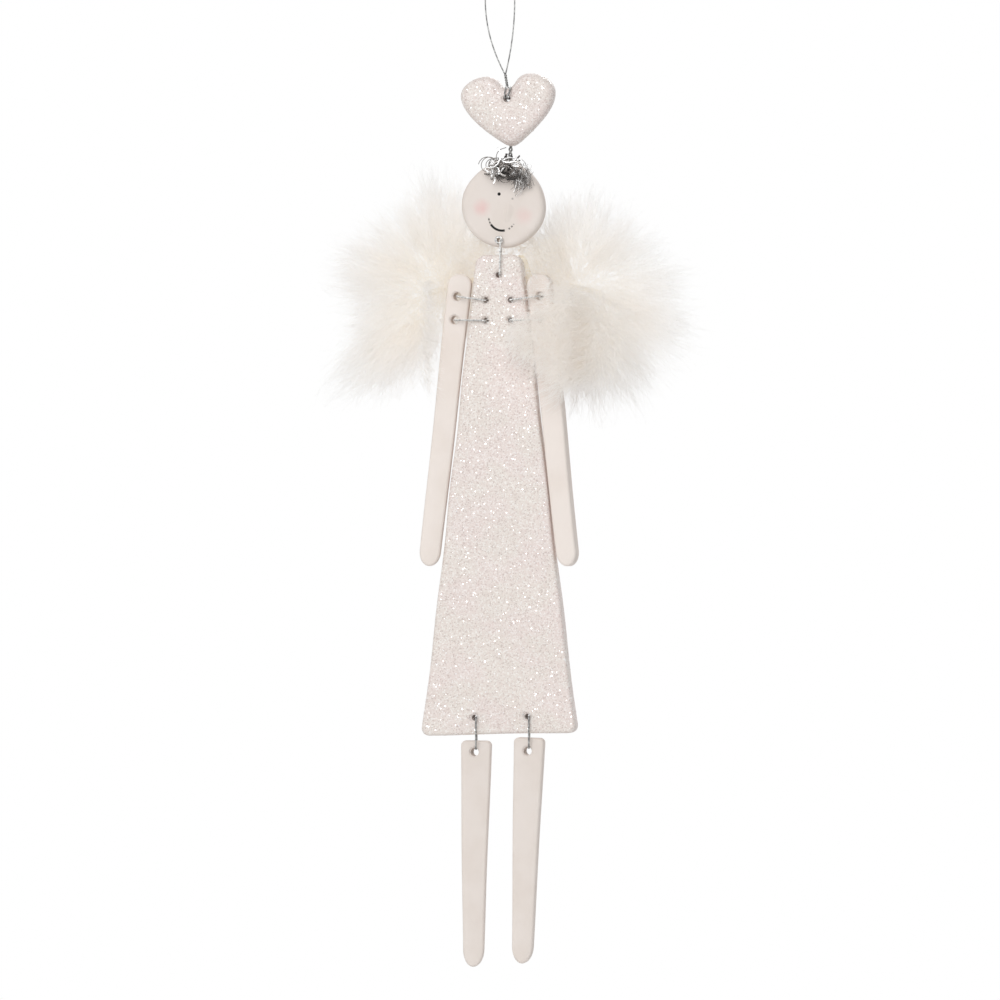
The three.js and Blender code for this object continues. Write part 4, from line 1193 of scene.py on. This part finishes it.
def puff(side, reach, seed, fills):
    """The barbs of a wing, as bases, middles, tips and how far out each end is. Short ones, pointing
    all ways, fill the outline that the reach gives for each angle from straight up. Tufts of long
    ones stand out at its rim, each drawn to a point, with single hairs between them."""
    toss = np.random.default_rng(seed)
    angles, lengths = np.array(list(reach), float), np.array(list(reach.values()), float)
    fan = np.linspace(angles[0], angles[-1], 721)
    wide = np.interp(fan, angles, lengths) ** 2
    root = np.array(WING_ROOT) * (side, 1, 1)

    def draw(count):
        return toss.choice(fan, count, p=wide / wide.sum())

    def spot(angle, share, depth):
        length = share * np.interp(angle, angles, lengths, period=360)
        turn = np.radians(angle)
        return root + np.stack((side * length * np.sin(turn), depth, length * np.cos(turn)), 1)

    def depth(far, lean):
        return 9 * np.tanh(0.7 * np.sqrt(np.clip(1.1 - far**2, 0.1, 1)) * lean)

    warm = LEFT_WARMTH if side < 0 else 0
    fill_far = FILL_REACH * toss.random(fills) ** 0.6
    fill_base = spot(draw(fills), fill_far, depth(fill_far, toss.normal(0, 0.85, fills)))
    fill_base[:ROOT_BARBS] = root + toss.normal(0, ROOT_SPREAD, (ROOT_BARBS, 3)) - (1.5 * side, 4, 0)
    outward = (0.25 + 0.75 * fill_far[:, None] ** 2) * unit(fill_base - root)
    fill_way = unit(outward + toss.normal(0, 0.5, (fills, 3)) * (1, 0.7, 1))
    fill_tip = fill_base + fill_way * toss.uniform(*FILL_LENGTHS, (fills, 1))
    swollen = 5.5 + 5.5 * arched(fill_far, 0, 1) * toss.uniform(0.4, 1, fills)
    front = np.maximum(root[1] - swollen, FILL_FRONT)
    fill_tip[:, 1] = np.clip(fill_tip[:, 1], front, root[1] + swollen)
    fill_middle = astray(fill_base, fill_tip, toss, 0.9)

    tuft = np.repeat(np.arange(RIM_TUFTS), RIM_BARBS)
    count = len(tuft)
    tuft_angle = draw(RIM_TUFTS)[tuft]
    short = RIM_POINT * toss.beta(1.1, 1.6, count)
    far = (RIM_REACH + toss.normal(0, RIM_UNEVEN, RIM_TUFTS)[tuft]) * (1 - short)
    near = far - toss.uniform(*RIM_LENGTHS, count)
    lean = toss.normal(0, 0.7, RIM_TUFTS)[tuft] + toss.normal(0, 0.2, count)
    tip = spot(tuft_angle + toss.normal(0, 1, count) * (1.2 + 22 * short), far, depth(far, lean))
    base = spot(tuft_angle + toss.normal(0, 8, count), near, 0.8 * depth(near, lean))
    bend = toss.normal(0, 0.15, RIM_TUFTS)[tuft] + toss.normal(0, 0.05, count)
    middle = bowed(base, tip, bend)

    stray_angle = draw(STRAY_BARBS)
    stray_far = toss.uniform(*STRAY_REACH, STRAY_BARBS)
    stray_near = 0 * stray_far + STRAY_BASE
    stray_lean = toss.normal(0, 0.8, STRAY_BARBS)
    stray_tip = spot(stray_angle, stray_far, depth(stray_far, stray_lean))
    stray_angle = stray_angle + toss.normal(0, 5, STRAY_BARBS)
    stray_base = spot(stray_angle, stray_near, depth(stray_near, stray_lean))
    stray_middle = bowed(stray_base, stray_tip, toss.normal(0, 0.1, STRAY_BARBS))

    neck, neck_tip = strewn(toss, side=side, **NECK_DOWN)
    neck_tip = neck_tip - (side, 0, 0)
    neck_tip[:, 1] = np.maximum(neck_tip[:, 1], NECK_FRONT)
    collar, collar_tip = strewn(toss, side=side, **COLLAR_DOWN)
    collar_tip[:, 0] = side * np.maximum(COLLAR_SIDE, side * collar_tip[:, 0])
    collar_tip[:, 2] = np.maximum(collar_tip[:, 2], COLLAR_LOW)
    nape, nape_tip = strewn(toss, side=side, **NAPE_DOWN)
    neck = np.concatenate((neck, collar, nape))
    neck_tip = np.concatenate((neck_tip, collar_tip, nape_tip))
    neck_middle = astray(neck, neck_tip, toss, 0.5)

    groups = [
        (fill_base, fill_middle, fill_tip, np.stack((fill_far, fill_far + 0.2), 1) - warm),
        (base, middle, tip, np.stack((near, far), 1)),
        (stray_base, stray_middle, stray_tip, np.stack((stray_near, stray_far), 1)),
        (neck, neck_middle, neck_tip, np.tile(NECK_SHADES, (len(neck), 1))),
    ]
    barbs = [np.concatenate(part) for part in zip(*groups)]
    order = toss.permutation(len(barbs[0]))
    return [part[order] for part in barbs]


def leaning(toss, ends, lean, count):
    """Random numbers from one end to the other, crowded towards one of them as the lean says."""
    return ends[0] + (ends[1] - ends[0]) * toss.beta(*lean, count)


def front_tuft(seed):
    """The part of the right wing that swells forward round the outside of the arm and lies over the
    arm and the edge of the dress, where it runs out to a point: barbs that wrap round, short ones
    that fill the swelling, and short ones that cover the arm."""
    toss = np.random.default_rng(seed)
    height = leaning(toss, WRAP_HEIGHTS, (1.6, 1.3), WRAP_BARBS)
    aside = leaning(toss, WRAP_BASE_X, (1, 2.2), WRAP_BARBS)
    base = np.stack((aside, toss.uniform(*WRAP_BASE_Y, WRAP_BARBS), height), 1)
    fall = toss.uniform(*WRAP_FALLS, WRAP_BARBS)
    tip_x = leaning(toss, WRAP_TIP_X, (1.3, 1.5), WRAP_BARBS)
    tip = np.stack((tip_x, toss.uniform(*WRAP_TIP_Y, WRAP_BARBS), height - fall), 1)
    bulge = WRAP_FRONT - WRAP_SWELL * toss.random(WRAP_BARBS) * arched(height, *WRAP_ARCH)
    middle = np.stack((aside + toss.uniform(-1.5, 1.5, WRAP_BARBS), bulge, height - 0.3 * fall), 1)

    swell = toss.normal(0, 1, (BULGE_BARBS, 3))
    swell = unit(swell) * toss.random((BULGE_BARBS, 1)) ** (1 / 3)
    swell = np.array(BULGE_CENTRE) + swell * BULGE_HALF
    swell[:, 0] = np.maximum(swell[:, 0], BULGE_INSIDE)
    swell_way = unit(unit(swell - BULGE_FROM) + toss.normal(0, 0.6, (BULGE_BARBS, 3)))
    swell_tip = swell + swell_way * toss.uniform(*BULGE_LENGTHS, (BULGE_BARBS, 1))
    beside = swell_tip[:, 1] > BESIDE_ARM["y"]
    swell_tip[beside, 0] = np.maximum(swell_tip[beside, 0], BESIDE_ARM["x"])
    swell_tip[:, 1] = np.maximum(swell_tip[:, 1], toss.uniform(*BULGE_FRONTS, BULGE_BARBS))

    inward = COVER_WIDE * toss.beta(1.1, 1.5, COVER_BARBS)
    cover_drop = (COVER_TALL - 1.3 * inward) * toss.beta(1.3, 1.4, COVER_BARBS)
    drop = 0.6 * inward + cover_drop
    thick = COVER_THICK * arched(COVER_PLACE[2] - drop, *COVER_ARCH) * toss.random(COVER_BARBS)
    cover = np.array(COVER_PLACE) - np.stack((inward, thick, drop), 1)
    cover = np.concatenate((cover, toss.uniform(**SHOULDER_BOX)))
    count = len(cover)
    cover_way = unit(np.array(COVER_WAY) + toss.normal(0, 0.7, (count, 3)) * (1, 0.3, 1))
    cover_tip = cover + cover_way * toss.uniform(*COVER_LENGTHS, (count, 1))
    cover_tip[:, 1] = np.clip(cover_tip[:, 1], *COVER_DEPTHS)

    ruff, ruff_tip = strewn(toss, **RUFF_DOWN)
    ruff_tip[:, 0] = np.maximum(ruff_tip[:, 0], RUFF_SIDE)
    ruff_tip[:, 1] = np.clip(ruff_tip[:, 1], *RUFF_DEPTHS)

    groups = [
        (ruff, astray(ruff, ruff_tip, toss, (0.3, 0, 0.3)), ruff_tip),
        (base, middle, tip),
        (swell, astray(swell, swell_tip, toss, 0.7), swell_tip),
        (cover, astray(cover, cover_tip, toss, 0.4), cover_tip),
    ]
    barbs = [np.concatenate(part) for part in zip(*groups)]
    return [*barbs, np.tile(FRONT_SHADES, (len(barbs[0]), 1))]


def edge_tuft(seed):
    """Barbs of the left wing that curl round the outer edge of the arm."""
    toss = np.random.default_rng(seed)
    height = EDGE_TOP - EDGE_TALL * toss.random(EDGE_BARBS)
    aside = -toss.uniform(*EDGE_BASE_X, EDGE_BARBS)
    base = np.stack((aside, toss.uniform(*EDGE_BASE_Y, EDGE_BARBS), height), 1)
    fall = toss.uniform(*EDGE_FALLS, EDGE_BARBS)
    tip_x = leaning(toss, EDGE_TIP_X, (1, 2), EDGE_BARBS)
    tip = np.stack((tip_x, toss.uniform(*EDGE_TIP_Y, EDGE_BARBS), height - fall), 1)
    bend_y = toss.uniform(*EDGE_BEND_Y, EDGE_BARBS)
    middle = np.stack((0 * fall + EDGE_BEND_X, bend_y, height - 0.4 * fall), 1)
    return [base, middle, tip, np.tile(EDGE_SHADES, (EDGE_BARBS, 1))]


def down_piece(name, barbs, seed, painted_shade, *nodes):
    """A share of a wing's down as one piece on the dress, with its shade along each barb, and its barbs
    darkened at random by up to a share that paints shade on the whole piece.
    """
    base, middle, tip, ends = barbs
    toss = np.random.default_rng(seed)
    points, faces = barb_mesh(base, middle, tip, toss)
    out = ends[:, :1] + (ends[:, 1:] - ends[:, :1]) * np.repeat(np.linspace(0, 1, BARB_POINTS), 3)
    tone = np.repeat(painted_shade * toss.random(len(base)), 3 * BARB_POINTS)
    made = piece(name, points, faces, down, reach=out, tone=tone)
    made.data.shade_flat()
    fit(made, "dress", "down", *nodes)


# White down: cream near the quill, white at the tips, each barb a little lighter or darker, and some
# pieces darker all over as painted shade.
down, start = finish("down", {"Roughness": 0.9, "Specular IOR Level": 0.1})
tint = start.node("ShaderNodeValToRGB", {0: start.each("reach")}, stops=DOWN_TINTS)
start.feed("Base Color", (0.06 * start.each("tone")).mix(tint, DOWN_SHADE_COLOUR))

for name, side, reach, seed in (("left", -1, LEFT_REACH, 51), ("right", 1, RIGHT_REACH, 52)):
    barbs = puff(side, reach, seed, FILL_BARBS[name])
    for part in range(WING_PIECES):
        share = [values[part::WING_PIECES] for values in barbs]
        nodes = [name + "_wing"] if part == 0 else []
        down_piece(f"{name}_wing_down_{part + 1}", share, 10 * seed + part, DOWN_PAINTED_SHADE[name], *nodes)
down_piece("right_wing_front_down", front_tuft(53), 54, DOWN_PAINTED_SHADE["front"])
down_piece("left_wing_edge_down", edge_tuft(55), 56, DOWN_PAINTED_SHADE["left"])

QUILL_COLOUR = (0.92, 0.88, 0.79)
GLUE_COLOUR = (0.93, 0.85, 0.68)
GLUE_PALE = (0.93, 0.88, 0.77)
GLUE_PLACE = np.array((5.3, 4.3, -77.4))
GLUE_HALF = np.array((2.3, 1.4, 5.2))
GLUE_ROLL = 6
GLUE_CLEAR = 0.28
GLUE_WAVES = (0.35, 1.6)


def pellet(half, place, roll, sides=28):
    """A closed ball stretched to three half-widths: circles of corners from pole to pole."""
    lift = np.linspace(np.pi / 2, -np.pi / 2, sides // 2 + 1)
    turn = 2 * np.pi * np.arange(sides) / sides
    ring = np.stack((np.cos(turn), np.sin(turn)), 1)[None] * np.cos(lift)[:, None, None]
    tall = np.broadcast_to(np.sin(lift)[:, None, None], (*ring.shape[:2], 1))
    points, quads = ringed(np.concatenate((ring, tall), -1) * half)
    return placed(points, place, roll), quads


quill_horn = finish("quill", {"Base Color": QUILL_COLOUR, "Roughness": 0.5})[0]
glue_film, start = finish("glue", {"Roughness": 0.35})
start.feed("Base Color", start.noise(420.0, 3.0).between(0.35, 0.65).mix(GLUE_COLOUR, GLUE_PALE))
for name, side in (("left", -1), ("right", 1)):
    dab, faces = pellet(GLUE_HALF, GLUE_PLACE * (side, 1, 1), -side * GLUE_ROLL)
    dab[:, 1] += 0.3 * np.maximum(0, abs(dab[:, 0]) - 6.5)
    dab = uneven(dab, *GLUE_WAVES)
    dab[:, 1] = np.maximum(dab[:, 1], DRESS_THICK / 2 + GLUE_CLEAR)
    dab = closed_up(piece(name + "_wing_glue_dab", dab, faces, glue_film))
    fit(dab, "dress", "glue", name + "_wing_glue")
    quills = bpy.data.objects[name + "_quills"]
    quills.data.materials.clear()
    quills.data.materials.append(quill_horn)
